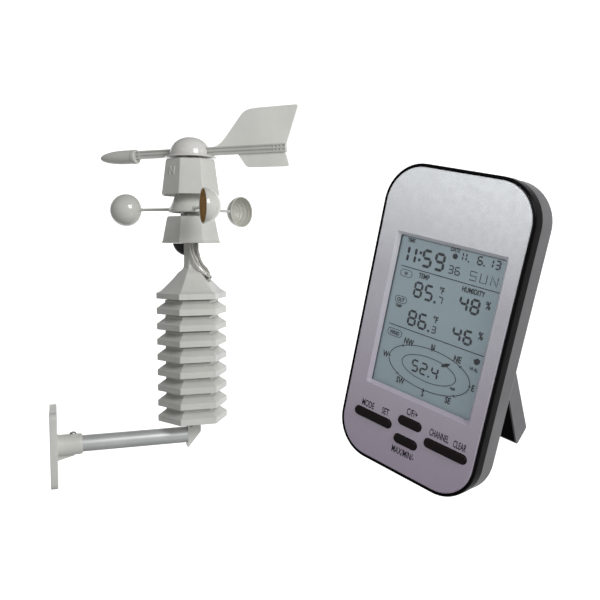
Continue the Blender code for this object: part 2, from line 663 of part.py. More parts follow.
def fin_plate():
    """The tail fin's outline, front to back over the top: a swept leading edge and a raked tail."""
    upper = [(23.0, 4.2), (27.0, 4.4), (32.5, 5.6), (38.0, 9.0), (43.6, 15.0), (59.0, 34.0)]
    corner = [(62.5, 38.0), (66.5, 40.6), (71.5, 42.0), (80.0, 42.6)]
    tail = [(125.5, 43.2), (112.6, 4.4), (111.4, -4.4), (115.4, -18.0), (113.8, -19.2)]
    lower = [(70.2, -18.6), (66.8, -17.4), (65.0, -15.0), (57.4, -4.4), (23.0, -4.2)]
    outline = [(x * MM, BOOM_Z + z * MM) for x, z in upper + corner + tail + lower]
    half = FIN_THICK / 2
    return loft([[Vector((x, y, z)) for x, z in outline] for y in (-half, half)])


def build_nose(vane):
    """The bullet-shaped counterweight, with a collar at its back and a pocket for the boom."""
    length = NOSE_END - NOSE_TIP
    steps = 7
    profile = []
    for i in range(1, steps + 1):
        t = (i / steps) ** 1.7
        profile.append((NOSE_RADIUS * math.sqrt(1 - (1 - t) ** 2.2), 0.72 * length * t))
    profile += [(NOSE_RADIUS, 0.88 * length), (NOSE_RADIUS + 0.3 * MM, 0.9 * length)]
    profile += [(NOSE_RADIUS + 0.3 * MM, 0.975 * length), (NOSE_RADIUS - 0.6 * MM, length)]
    bm = turned([(0.4 * MM, 0)] + profile, 20, closed=False)
    along = Euler((0, math.pi / 2, 0)).to_matrix().to_4x4()
    placed(bm, Matrix.Translation((NOSE_TIP, 0, BOOM_Z - NOSE_DROP)) @ along)
    nose = make("nose_weight", bm, "pale_plastic", vane)
    half_height, half_thick = BOOM_HEIGHT / 2 + GAP, BOOM_THICK / 2 + GAP
    low = (BOOM_START - GAP, -half_thick, BOOM_Z - half_height)
    combine(nose, box(low, (NOSE_END + MM, half_thick, BOOM_Z + half_height)))


def build_leads(mast):
    """Two thin leads and a sleeved bundle, from the lower housing down to the slot in the cap."""
    turn = Matrix.Rotation(FRONT_TURN, 3, "Z")
    # Each point is (towards the front, to its right, up)
    first = [(12.6, -2.4, 222), (12.6, -2.2, 211), (12.4, 0, 200), (12.2, 5, 189), (12.2, 12, 180.6)]
    first += [(10.2, 17.5, 176.8), (6.6, 19.6, 174.4), (5.6, 16.6, 171.4)]
    second = [(12.6, 0.4, 222), (12.6, 0.5, 211), (12.4, 2.8, 201), (12, 7.6, 190.8), (11.6, 13.8, 182.8)]
    second += [(9, 19, 178.2), (5.4, 21.2, 175.4), (2.8, 18.4, 172.0)]
    bundle = [(10.4, 5.4, 222), (10.4, 5.6, 211), (10.2, 6.8, 202), (9.2, 10.2, 191.2), (7, 15.4, 184.6)]
    bundle += [(4.6, 18.2, 179.6), (2.2, 16.6, 174.8)]
    leads = (("cable_1", first, 0.9), ("cable_2", second, 0.9), ("cable_sleeve", bundle, 1.9))
    for name, route, radius in leads:
        points = [turn @ (Vector(point) * MM) for point in route]
        smooth_tube(name, points, radius * MM, "cable_jacket", mast)


def build_console_body(console):
    """Silver face plate, black rim band and grey rear shell with its two bays."""
    edge = 1.3 * MM + GAP
    rings = [face_outline(edge + 0.5 * MM, 0), face_outline(edge, 0.5 * MM)]
    rings.append(face_outline(edge, FACE_THICK))
    face = make("front_shell", loft(rings), "silver_face", console)
    half_w, half_h = DISPLAY_WIDTH / 2, DISPLAY_HEIGHT / 2
    window = lambda grow, y: [
        Vector((x * (half_w + grow), y, z * (half_h + grow))) for x, z in ((-1, -1), (1, -1), (1, 1), (-1, 1))
    ]
    rings = [window(0.02 * MM, -0.02 * MM), window(-WINDOW_STEP, 2.2 * MM), window(-WINDOW_STEP, 3.5 * MM)]
    combine(face, loft(rings))
    for centre_x, centre_z, half_width in KEYS.values():
        hole = loft([pill(half_width + 0.4 * MM, KEY_HALF_HEIGHT + 0.4 * MM, y) for y in (-MM, 4 * MM)])
        combine(face, placed(hole, Matrix.Translation((centre_x, 0, centre_z))))
    depth = RIM_DEPTH / MM
    rim = [(0.6, 0.0), (0.0, 1.0), (0.0, depth), (3.2, depth), (3.2, 2.7), (1.3, 2.7), (1.3, 0.0)]
    band = loft([face_outline(inset * MM, y * MM) for inset, y in rim], True)
    make("rim_band", band, "black_gloss", console)
    build_rear_shell(console)


def build_rear_shell(console):
    """The hollow grey back, with a pocket for the folded stand and a battery bay below a door ledge."""
    front = RIM_DEPTH + GAP
    back = BODY_DEPTH
    rings = [face_outline(0.4 * MM, front), face_outline(0.4 * MM, back - 2 * MM)]
    rings.append(face_outline(2.4 * MM, back))
    shell = make("rear_shell", loft(rings), "grey_plastic", console)
    cavity = loft([face_outline(SHELL + 0.6 * MM, front - MM), face_outline(SHELL + 0.6 * MM, back - SHELL)])
    combine(shell, cavity)
    stand_x = STAND_HALF_WIDTH + 0.6 * MM
    stand_low = STAND_HINGE_Z - STAND_LENGTH - 0.8 * MM
    stand_high = STAND_HINGE_Z + 5.2 * MM
    pocket_floor = BODY_DEPTH - STAND_THICK - 0.8 * MM
    wall = 1.2 * MM
    block_low = (-stand_x - wall, pocket_floor - wall, stand_low - wall)
    block_high = (stand_x + wall, back - MM, stand_high + wall)
    combine(shell, box(block_low, block_high), "UNION")
    block_low = (-BAY_X - wall, BAY_FLOOR - wall, BAY_LOW - wall)
    block_high = (BAY_X + wall, back - MM, BAY_HIGH + wall)
    combine(shell, box(block_low, block_high), "UNION")
    combine(shell, box((-stand_x, pocket_floor, stand_low), (stand_x, back + MM, stand_high)))
    combine(shell, box((-BAY_X, BAY_FLOOR, BAY_LOW), (BAY_X, back + MM, BAY_HIGH)))
    ledge = 1.6 * MM
    ledge_low = (-BAY_X - ledge, DOOR_Y - GAP, BAY_LOW - ledge)
    ledge_high = (BAY_X + ledge, back + MM, BAY_HIGH + ledge + DOOR_TRAVEL)
    combine(shell, box(ledge_low, ledge_high))
    reach = stand_x + 0.9 * MM
    ends = [(x, STAND_HINGE_Y, STAND_HINGE_Z) for x in (-reach, reach)]
    combine(shell, rod(PIN_RADIUS + GAP, *ends, 10))


def build_display(console):
    """Window, display panel, circuit board and the rubber mat behind the keys."""
    half_w, half_h = DISPLAY_WIDTH / 2 + 2 * MM, DISPLAY_HEIGHT / 2 + 2 * MM
    make("lcd_window", box((-half_w, 2.7 * MM, -half_h), (half_w, 3.5 * MM, half_h)), "clear_window", console)
    make("lcd_panel", box((-half_w, 3.8 * MM, -half_h), (half_w, 6.2 * MM, half_h)), "display", console)
    board_low, board_high = (-38.5 * MM, 6.5 * MM, -71 * MM), (38.5 * MM, 7.7 * MM, 10.5 * MM)
    make("main_board", box(board_low, board_high), "circuit_board", console)
    mat_low, mat_high = (-38.5 * MM, 5.2 * MM, -72 * MM), (38.5 * MM, 6.2 * MM, -50 * MM)
    make("key_mat", box(mat_low, mat_high), "rubber", console)


def build_keys(console):
    """Four pill-shaped keys: a cap through the face and a wider flange behind it."""
    for name, (centre_x, centre_z, half_width) in KEYS.items():
        flange = 0.9 * MM
        steps = [
            (-0.5 * MM, -KEY_PROUD),
            (0, 0.5 * MM - KEY_PROUD),
            (0, FACE_THICK + 1.1 * MM),
            (flange, FACE_THICK + 1.1 * MM),
            (flange, FACE_THICK + 1.8 * MM),
        ]
        cap = loft([pill(half_width + grow, KEY_HALF_HEIGHT + grow, y) for grow, y in steps])
        axis = empty(f"{name}_axis", (centre_x, 0, centre_z), parent=console)
        make(name, cap, "black_gloss", axis)


def build_stand(console):
    """The kickstand, a wedge-sided tray open to the rear that swings out of the back, and its hinge pin."""
    axis = empty("stand_axis", (0, STAND_HINGE_Y, STAND_HINGE_Z), Euler((STAND_OPEN, 0, 0)), console)
    outer = BODY_DEPTH - STAND_HINGE_Y
    inner = outer - STAND_THICK
    half = STAND_HALF_WIDTH
    top = 4.2 * MM
    side = [(inner, MM - STAND_LENGTH), (inner + MM, -STAND_LENGTH), (outer, -STAND_BACK_LENGTH)]
    side += [(outer, 0.0), (outer - 0.4 * MM, 2.4 * MM), (0.6 * MM, top), (inner + 3 * MM, 2.0 * MM)]
    profile = lambda x: [Vector((x, y, z)) for y, z in side]
    stand = make("kickstand", loft([profile(-half), profile(half)]), "grey_plastic", axis)
    skin = 1.8 * MM
    hollow = [(inner + skin, 2 * MM - STAND_BACK_LENGTH), (outer + MM, 2 * MM - STAND_BACK_LENGTH)]
    hollow += [(outer + MM, -5.0 * MM), (inner + 3 * MM + skin, -5.0 * MM)]
    combine(stand, loft([[Vector((x, y, z)) for y, z in hollow] for x in (skin - half, half - skin)]))
    combine(stand, rod(PIN_RADIUS + GAP, (-half - MM, 0, 0), (half + MM, 0, 0), 10))
    reach = half + 1.2 * MM
    pin = rod(PIN_RADIUS, (-reach, STAND_HINGE_Y, STAND_HINGE_Z), (reach, STAND_HINGE_Y, STAND_HINGE_Z), 10)
    make("stand_pin", pin, "steel", console)


def build_battery_bay(console):
    """Two AAA cells behind a sliding door."""
    for number, z in enumerate((BAY_LOW + 6.2 * MM, BAY_HIGH - 6.2 * MM), 1):
        y = BAY_FLOOR + GAP + AAA_RADIUS
        start = -AAA_LENGTH / 2
        profile = [(AAA_RADIUS, start), (AAA_RADIUS, -start - MM)]
        profile += [(1.9 * MM, -start - MM), (1.9 * MM, -start)]
        cell = turned(profile, 12, closed=False)
        side = math.pi / 2 if number == 1 else -math.pi / 2
        turn = Euler((0, side, 0)).to_matrix().to_4x4()
        cell = placed(cell, Matrix.Translation((0, y, z)) @ turn)
        make(f"console_battery_{number}", cell, "battery_wrap", console)
    edge = 1.6 * MM - GAP
    axis = empty("door_axis", (0, DOOR_Y, (BAY_LOW + BAY_HIGH) / 2), parent=console)
    half_z = (BAY_HIGH - BAY_LOW) / 2 + edge
    door = box((-BAY_X - edge, 0, -half_z), (BAY_X + edge, BODY_DEPTH - DOOR_Y, half_z))
    make("battery_door", door, "grey_plastic", axis)


def main():
    clear_scene()
    make_materials()
    build_wall_arm()
    mast = empty("mast_axis", (MAST_X, 0, 0))
    build_elbow(mast)
    build_shield(mast)
    build_shield_inside(mast)
    build_lower_housing(mast)
    build_upper_housing(mast)
    build_leads(mast)
    build_rotor(empty("rotor_axis", (MAST_X, 0, 0)))
    build_vane(empty("vane_axis", (MAST_X, 0, 0), Euler((0, 0, VANE_TURN))))
    turn = Matrix.Rotation(CONSOLE_YAW, 3, "Z") @ Matrix.Rotation(-CONSOLE_LEAN, 3, "X")
    turn = turn @ Matrix.Rotation(CONSOLE_ROLL, 3, "Y")
    console = empty("console_frame", CONSOLE_AT, turn.to_euler())
    build_console_body(console)
    build_display(console)
    build_keys(console)
    build_stand(console)
    build_battery_bay(console)
    bpy.context.view_layer.update()


main()
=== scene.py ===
"""Looks for the home weather station: fine meshes, procedural materials, light and camera around its CAD.

Shapes are written in millimetres in the frame of the unit they belong to, and scaled to metres as pieces.
"""

import json
import math

import bmesh
import bpy
from mathutils import Matrix, Vector


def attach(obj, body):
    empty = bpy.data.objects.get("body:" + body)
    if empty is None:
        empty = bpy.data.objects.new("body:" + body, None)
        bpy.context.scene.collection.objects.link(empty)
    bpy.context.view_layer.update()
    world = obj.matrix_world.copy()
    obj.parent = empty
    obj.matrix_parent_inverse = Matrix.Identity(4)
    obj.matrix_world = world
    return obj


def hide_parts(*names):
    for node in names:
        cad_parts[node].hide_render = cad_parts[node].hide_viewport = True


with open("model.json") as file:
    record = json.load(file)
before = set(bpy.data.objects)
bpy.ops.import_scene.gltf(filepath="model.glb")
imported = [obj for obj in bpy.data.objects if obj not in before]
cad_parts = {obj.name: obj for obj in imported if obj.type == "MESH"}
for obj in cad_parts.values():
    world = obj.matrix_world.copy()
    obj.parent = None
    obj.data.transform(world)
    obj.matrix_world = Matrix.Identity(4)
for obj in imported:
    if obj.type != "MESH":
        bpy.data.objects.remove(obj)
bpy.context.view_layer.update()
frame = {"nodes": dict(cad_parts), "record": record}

MM = 0.001


def shift(x=0.0, y=0.0, z=0.0):
    return Matrix.Translation(Vector((x, y, z)) * MM)


def spin(degrees, axis):
    return Matrix.Rotation(math.radians(degrees), 4, axis)


# Places of the units, as in the CAD: the wall plate's centre is the origin
MAST_X = 151.0
ROW = Matrix.Identity(4)
MAST = shift(MAST_X)
FRONT = MAST @ spin(-100, "Z")  # x towards the viewer, y to the viewer's right
VANE = MAST @ spin(-39, "Z")
CONSOLE = shift(199.1, -441.0, 167.4) @ spin(-62.6, "Z") @ spin(-2.0, "X") @ spin(12.2, "Y")

# Sizes and heights of the mast's parts, as in the CAD
LOUVRES = 8
PITCH = 16.84
CAP_EAVE = 152.6
SHIELD_BASE = CAP_EAVE - LOUVRES * PITCH
HEAD_TURN = 12.8
FIRST_CUP = -89.0
ROTOR_Z = 249.2
BOOM_Z = 310.6


# ---------------------------------------------------------------- shapes
def fillet(points, radius, steps=3, closed=True):
    """Rounds each corner of a 2-D line with an arc no longer than the sides allow."""
    out = []
    count = len(points)
    for i, point in enumerate(points):
        here = Vector(point[:2])
        if not closed and i in (0, count - 1):
            out.append(tuple(here))
            continue
        size = point[2] if len(point) > 2 else radius
        before = Vector(points[i - 1][:2]) - here
        after = Vector(points[(i + 1) % count][:2]) - here
        turn = math.pi - before.angle(after)
        if size <= 0 or turn < math.radians(8):
            out.append(tuple(here))
            continue
        reach = min(size * math.tan(turn / 2), 0.45 * before.length, 0.45 * after.length)
        start, end = here + before.normalized() * reach, here + after.normalized() * reach
        for k in range(steps + 1):
            t = k / steps
            out.append(tuple(start * (1 - t) ** 2 + here * 2 * t * (1 - t) + end * t * t))
    return out


def smooth_line(points, steps=6):
    """A smooth line through points of any dimension."""
    points = [Vector(p) for p in points]
    control = [points[0] * 2 - points[1], *points, points[-1] * 2 - points[-2]]
    out = []
    for a, b, c, d in zip(control, control[1:], control[2:], control[3:]):
        for i in range(steps):
            t = i / steps
            out.append(
                0.5
                * (
                    2 * b
                    + (c - a) * t
                    + (2 * a - 5 * b + 4 * c - d) * t * t
                    + (3 * b - a - 3 * c + d) * t * t * t
                )
            )
    out.append(points[-1])
    return out


def loft(rings, closed=False, caps=True):
    """Skins equal rings of points. Closed joins the last ring to the first, else the ends are capped."""
    bm = bmesh.new()
    loops = [[bm.verts.new(point) for point in ring] for ring in rings]
    count = len(loops[0])
    pairs = list(zip(loops, loops[1:]))
    if closed:
        pairs.append((loops[-1], loops[0]))
    for low, high in pairs:
        for i in range(count):
            j = (i + 1) % count
            bm.faces.new((low[i], low[j], high[j], high[i]))
    if caps and not closed:
        bm.faces.new(reversed(loops[0]))
        bm.faces.new(loops[-1])
    return bm


def circle(radius, z, sides=48, turn=0.0):
    step = 2 * math.pi / sides
    return [
        Vector((radius * math.cos(turn + i * step), radius * math.sin(turn + i * step), z))
        for i in range(sides)
    ]


def polygon(radius, z, sides, turn=0.0, corner=0.9, steps=3):
    """A regular polygon of that corner radius whose corners are rounded a little."""
    corner = min(corner, 0.3 * radius)
    centre = radius - corner / math.cos(math.pi / sides)
    points = []
    for i in range(sides):
        middle = turn + 2 * math.pi * i / sides
        for k in range(steps + 1):
            angle = middle + (2 * k / steps - 1) * math.pi / sides
            x = centre * math.cos(middle) + corner * math.cos(angle)
            y = centre * math.sin(middle) + corner * math.sin(angle)
            points.append(Vector((x, y, z)))
    return points


def turned(profile, sides=64, closed=True):
    return loft([circle(radius, z, sides) for radius, z in profile], closed)


def prism(profile, sides, turn=0.0, closed=True, corner=0.9):
    return loft([polygon(r, z, sides, turn, corner) for r, z in profile], closed)


def plate(outline, low, high, place=lambda u, v, w: (u, v, w), round_by=0.0):
    """A flat plate from a 2-D outline between two heights, its rims rounded."""
    if round_by:
        steps = 3
        rings = []
        for level, way in ((low, 1), (high, -1)):
            for k in range(steps + 1):
                angle = math.pi / 2 * (k if way > 0 else steps - k) / steps
                inset = round_by * (1 - math.sin(angle))
                rings.append((inset, level + way * round_by * (1 - math.cos(angle))))
        return loft([[place(x, y, w) for x, y in offset(outline, inset)] for inset, w in rings])
    return loft([[place(x, y, w) for x, y in outline] for w in (low, high)])


def offset(outline, inset):
    """The outline moved inwards along its own normals."""
    count = len(outline)
    area = sum(
        outline[i - 1][0] * outline[i][1] - outline[i][0] * outline[i - 1][1] for i in range(count)
    )
    way = 1 if area > 0 else -1
    out = []
    for i in range(count):
        before = (Vector(outline[i]) - Vector(outline[i - 1])).normalized()
        after = (Vector(outline[(i + 1) % count]) - Vector(outline[i])).normalized()
        middle = before + after
        middle = middle.normalized() if middle.length > 1e-6 else after
        normal = Vector((-middle.y, middle.x)) * way
        stretch = 1 / max(0.5, abs(middle.dot(after)))
        out.append(tuple(Vector(outline[i]) + normal * inset * stretch))
    return out


def standing(u, v, w):
    """Turns a plate's outline up into the xz plane."""
    return u, w, v


def across(points, low, high):
    """A bar along x from a side view of (y, z) points."""
    return loft([[Vector((x, y, z)) for y, z in points] for x in (low, high)])


def box(low, high):
    (x0, y0, z0), (x1, y1, z1) = low, high
    floor = [(x0, y0), (x1, y0), (x1, y1), (x0, y1)]
    return loft([[Vector((x, y, z)) for x, y in floor] for z in (z0, z1)])


def placed(bm, matrix):
    bmesh.ops.transform(bm, matrix=matrix, verts=bm.verts)
    return bm


def moved(bm, matrix):
    """Moves a shape in millimetres by a matrix whose shift is in metres."""
    matrix = matrix.copy()
    matrix.translation /= MM
    return placed(bm, matrix)


def rod(radius, start, end, sides=32, profile=None):
    """A round bar from start to end; the profile lists (share of length, radius) along it."""
    start, end = Vector(start), Vector(end)
    along = end - start
    profile = profile or [(0, radius), (1, radius)]
    bm = turned([(r, along.length * t) for t, r in profile], sides, closed=False)
    turn = along.to_track_quat("Z", "Y").to_matrix().to_4x4()
    return placed(bm, Matrix.Translation(start) @ turn)


def joined(*shapes):
    """One mesh of several shapes, which may touch."""
    out = bmesh.new()
    for bm in shapes:
        mesh = bpy.data.meshes.new("join")
        bmesh.ops.recalc_face_normals(bm, faces=bm.faces)
        bm.to_mesh(mesh)
        bm.free()
        out.from_mesh(mesh)
        bpy.data.meshes.remove(mesh)
    return out


def add_object(name, data):
    obj = bpy.data.objects.new(name, data)
    bpy.context.scene.collection.objects.link(obj)
    return obj


def temporary(bm):
    mesh = bpy.data.meshes.new("temporary")
    bmesh.ops.recalc_face_normals(bm, faces=bm.faces)
    bm.to_mesh(mesh)
    bm.free()
    return add_object("temporary", mesh)


def evaluated(obj):
    graph = bpy.context.evaluated_depsgraph_get()
    return bpy.data.meshes.new_from_object(obj.evaluated_get(graph), depsgraph=graph)


def discard(*objects):
    for obj in objects:
        mesh = obj.data
        bpy.data.objects.remove(obj, do_unlink=True)
        if mesh.users == 0:
            bpy.data.meshes.remove(mesh)


def combined(bm, tools, operation="DIFFERENCE"):
    """The shape with tools cut from it, or joined to it."""
    base = temporary(bm)
    helpers = [temporary(tool) for tool in tools]
    for helper in helpers:
        modifier = base.modifiers.new("step", "BOOLEAN")
        modifier.operation = operation
        modifier.object = helper
    bpy.context.view_layer.update()
    mesh = evaluated(base)
    out = bmesh.new()
    out.from_mesh(mesh)
    discard(base, *helpers)
    bpy.data.meshes.remove(mesh)
    return out


def piece(name, bm, finish, body, place, replaces=(), bevel=0.0, sharp=40):
    """A shape in millimetres becomes a named piece that rides on a body, dressed in its finish."""
    bmesh.ops.remove_doubles(bm, verts=bm.verts, dist=1e-4)
    bmesh.ops.recalc_face_normals(bm, faces=bm.faces)
    bmesh.ops.transform(bm, matrix=Matrix.Scale(MM, 4), verts=bm.verts)
    mesh = bpy.data.meshes.new(name)
    bm.to_mesh(mesh)
    bm.free()
    obj = add_object(name, mesh)
    if bevel:
        modifier = obj.modifiers.new("Edges", "BEVEL")
        modifier.width = bevel * MM
        modifier.segments = 2
        modifier.limit_method = "ANGLE"
        modifier.angle_limit = math.radians(28)
        bpy.context.view_layer.update()
        obj.data = evaluated(obj)
        obj.modifiers.clear()
    obj.data.name = name
    obj.data.transform(place)
    obj.data.shade_smooth()
    obj.data.set_sharp_from_angle(angle=math.radians(sharp))
    weigh = obj.modifiers.new("Normals", "WEIGHTED_NORMAL")
    weigh.keep_sharp = True
    obj.data.materials.clear()
    obj.data.materials.append(finish)
    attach(obj, body)
    if replaces:
        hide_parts(*replaces)
    return obj


# ---------------------------------------------------------------- materials
def linear(share):
    return share / 12.92 if share <= 0.04045 else ((share + 0.055) / 1.055) ** 2.4


def srgb(red, green, blue):
    return [linear(c / 255) for c in (red, green, blue)]


class Finish:
    """A Principled material, with short ways to add the nodes that drive its sockets."""

    def __init__(self, name, metallic=0.0, roughness=0.4, **constants):
        self.material = bpy.data.materials.new(name)
        self.material.use_nodes = True
        self.tree = self.material.node_tree
        self.shader = self.tree.nodes["Principled BSDF"]
        self.shader.inputs["Metallic"].default_value = metallic
        self.shader.inputs["Roughness"].default_value = roughness
        for socket, value in constants.items():
            self.shader.inputs[socket.replace("_", " ")].default_value = value
        self.place = self.tree.nodes.new("ShaderNodeTexCoord").outputs["Object"]

    def link(self, source, target):
        self.tree.links.new(source, target)

    def stretched(self, scale):
        node = self.tree.nodes.new("ShaderNodeMapping")
        node.inputs["Scale"].default_value = scale
        self.link(self.place, node.inputs["Vector"])
        return node.outputs["Vector"]

    def noise(self, scale, detail=3.0, stretch=None, roughness=0.55):
        """Noise of that many cells to the metre, from 0 to 1."""
        node = self.tree.nodes.new("ShaderNodeTexNoise")
        node.inputs["Scale"].default_value = scale
        node.inputs["Detail"].default_value = detail
        node.inputs["Roughness"].default_value = roughness
        self.link(self.stretched(stretch) if stretch else self.place, node.inputs["Vector"])
        return node.outputs["Fac"]

    def ranged(self, source, low, high, to_low=0.0, to_high=1.0):
        node = self.tree.nodes.new("ShaderNodeMapRange")
        for socket, value in zip(("From Min", "From Max", "To Min", "To Max"), (low, high, to_low, to_high)):
            node.inputs[socket].default_value = value
        self.link(source, node.inputs["Value"])
        return node.outputs["Result"]

    def clouds(self, scale, detail, low, high, to_low=0.0, to_high=1.0):
        """Noise of that many cells to the metre, spread between two of its levels."""
        return self.ranged(self.noise(scale, detail), low, high, to_low, to_high)

    def up_face(self, low, high):
        """From 0 to 1 between two heights on the console's face, in millimetres."""
        up = CONSOLE.to_3x3().col[2].normalized()
        node = self.tree.nodes.new("ShaderNodeVectorMath")
        node.operation = "DOT_PRODUCT"
        node.inputs[1].default_value = up
        self.link(self.place, node.inputs[0])
        middle = CONSOLE.translation.dot(up)
        return self.ranged(node.outputs["Value"], middle + low * MM, middle + high * MM)

    def mix(self, factor, first, second, blend="MIX"):
        """Colours may be lists or sockets."""
        node = self.tree.nodes.new("ShaderNodeMix")
        node.data_type = "RGBA"
        node.blend_type = blend
        for socket, value in ((node.inputs[6], first), (node.inputs[7], second)):
            if isinstance(value, (list, tuple)):
                socket.default_value = (*value, 1)
            else:
                self.link(value, socket)
        if isinstance(factor, float):
            node.inputs[0].default_value = factor
        else:
            self.link(factor, node.inputs[0])
        return node.outputs[2]

    def edges(self, low=0.52, high=0.62):
        node = self.tree.nodes.new("ShaderNodeNewGeometry")
        return self.ranged(node.outputs["Pointiness"], low, high)

    def bumped(self, heights):
        """Bumps, one on another: (height socket, strength, depth in millimetres)."""
        normal = None
        for source, strength, depth in heights:
            node = self.tree.nodes.new("ShaderNodeBump")
            node.inputs["Strength"].default_value = strength
            node.inputs["Distance"].default_value = depth * MM
            self.link(source, node.inputs["Height"])
            if normal is not None:
                self.link(normal, node.inputs["Normal"])
            normal = node.outputs["Normal"]
        self.link(normal, self.shader.inputs["Normal"])

    def colour(self, source):
        self.link(source, self.shader.inputs["Base Color"])

    def rough(self, source):
        self.link(source, self.shader.inputs["Roughness"])


def moulded(name, colour, roughness=0.42, spread=0.07, grain=0.25, edge=0.25, dust=0.2, **constants):
    """Moulded plastic: a fine even grain, slow drift in the colour, dust and paler rubbed edges."""
    f = Finish(name, 0.0, roughness, **constants)
    dark = [c * (1 - spread) for c in colour]
    light = [min(1, c * (1 + spread)) for c in colour]
    drift = f.clouds(22, 4, 0.3, 0.7)
    base = f.mix(drift, dark, light)
    fine = f.noise(700, 2)
    base = f.mix(f.ranged(fine, 0.35, 0.65, 0.0, 0.12), base, [c * 0.8 for c in colour])
    streaks = f.ranged(f.noise(1, 4, (90, 90, 9)), 0.56, 0.8, 0.0, dust)
    base = f.mix(streaks, base, [c * 0.72 for c in (colour[0] * 1.03, colour[1], colour[2] * 0.93)])
    base = f.mix(f.ranged(f.edges(), 0, 1, 0.0, edge), base, [min(1, c * 1.22 + 0.02) for c in colour])
    f.colour(base)
    f.rough(f.clouds(60, 5, 0.3, 0.7, roughness - 0.09, roughness + 0.09))
    f.bumped([(f.noise(1500, 2), grain, 0.05), (f.noise(90, 2), 0.12, 0.12)])
    return f.material


def brushed(name, colour, roughness=0.3, along=(6, 700, 700), wear=0.1, metallic=1.0, **constants):
    """Metal with fine lines along one axis and slow tarnish."""
    f = Finish(name, metallic, roughness, **constants)
    lines = f.noise(1, 3, along)
    tarnish = f.clouds(35, 5, 0.35, 0.75)
    base = f.mix(tarnish, colour, [c * (1 - wear) for c in colour])
    base = f.mix(f.ranged(lines, 0.3, 0.7, 0, 0.18), base, [c * 0.82 for c in colour])
    f.colour(base)
    f.rough(f.ranged(lines, 0.3, 0.7, roughness - 0.08, roughness + 0.1))
    f.bumped([(lines, 0.25, 0.03)])
    return f.material


def glossy(name, colour, roughness=0.12, **constants):
    """Polished plastic with a little dust and faint handling marks."""
    f = Finish(name, 0.0, roughness, **constants)
    marks = f.clouds(120, 5, 0.5, 0.8)
    f.colour(f.mix(f.clouds(900, 3, 0.6, 0.85, 0, 0.5), colour, [c * 1.5 + 0.01 for c in colour]))
    f.rough(f.ranged(marks, 0, 1, roughness, roughness + 0.14))
    f.bumped([(f.noise(160, 2), 0.05, 0.1)])
    return f.material


def silver_paint_with_painted_light():
    """Satin silver paint with a fine flake, and painted light: the face is painted bright at the top and
    darker, a little violet, at the foot, where less of the studio's light and reflections fall.
    """
    f = Finish("silver_paint_with_painted_light", 0.3, 0.38, Coat_Weight=0.2, Coat_Roughness=0.3)
    # Painted light and reflection: colour by height on the face, violet-grey at the foot, paler in the
    # middle, near white at the top.
    base = f.mix(f.up_face(-85, 10), srgb(190, 176, 196), srgb(204, 203, 211))
    base = f.mix(f.up_face(20, 75), base, srgb(248, 252, 254))
    flake = f.noise(2600, 1)
    base = f.mix(f.ranged(flake, 0.3, 0.7, 0.0, 0.3), base, srgb(150, 150, 158))
    base = f.mix(f.clouds(25, 4, 0.35, 0.75, 0, 0.12), base, srgb(168, 164, 176))
    f.colour(base)
    f.rough(f.clouds(300, 3, 0.3, 0.7, 0.32, 0.46))
    f.bumped([(flake, 0.12, 0.03)])
    return f.material


def display_glass():
    """The reflective back of the display: grey-blue, a little darker at the top, with fine cells."""
    f = Finish("display_back", 0.1, 0.42)
    height = f.up_face(-44, 44)
    base = f.mix(height, srgb(152, 170, 178), srgb(143, 160, 168))
    base = f.mix(f.clouds(30, 3, 0.3, 0.7, 0, 0.15), base, srgb(136, 156, 164))
    f.colour(base)
    f.rough(f.clouds(500, 2, 0.3, 0.7, 0.36, 0.5))
    f.bumped([(f.noise(2200, 1), 0.1, 0.02)])
    return f.material


def clear_cover():
    f = Finish("clear_cover", 0.0, 0.06, Alpha=0.035, IOR=1.5)
    f.colour(f.mix(f.clouds(60, 3, 0.3, 0.7), srgb(205, 212, 215), srgb(225, 230, 232)))
    f.rough(f.clouds(200, 4, 0.4, 0.8, 0.04, 0.12))
    return f.material


def circuit():
    """Green board with etched tracks."""
    f = Finish("circuit_green", 0.0, 0.4)
    tracks = f.tree.nodes.new("ShaderNodeTexBrick")
    tracks.inputs["Scale"].default_value = 180
    tracks.inputs["Mortar Size"].default_value = 0.03
    f.link(f.place, tracks.inputs["Vector"])
    tracks.inputs["Color1"].default_value = (0.02, 0.13, 0.05, 1)
    tracks.inputs["Color2"].default_value = (0.03, 0.17, 0.07, 1)
    tracks.inputs["Mortar"].default_value = (0.10, 0.30, 0.12, 1)
    f.colour(f.mix(f.clouds(60, 3, 0.3, 0.7, 0, 0.4), tracks.outputs["Color"], [0.02, 0.10, 0.04]))
    f.rough(f.clouds(200, 2, 0.3, 0.7, 0.3, 0.5))
    f.bumped([(tracks.outputs["Fac"], 0.3, 0.05)])
    return f.material


def braided():
    """Grey woven sleeve."""
    f = Finish("woven_sleeve", 0.0, 0.65)
    weave = f.tree.nodes.new("ShaderNodeTexWave")
    weave.bands_direction = "DIAGONAL"
    weave.inputs["Scale"].default_value = 420
    weave.inputs["Distortion"].default_value = 3.0
    f.link(f.place, weave.inputs["Vector"])
    f.colour(f.mix(weave.outputs["Fac"], srgb(128, 126, 122), srgb(186, 184, 178)))
    f.rough(f.ranged(weave.outputs["Fac"], 0, 1, 0.55, 0.75))
    f.bumped([(weave.outputs["Fac"], 0.6, 0.25)])
    return f.material


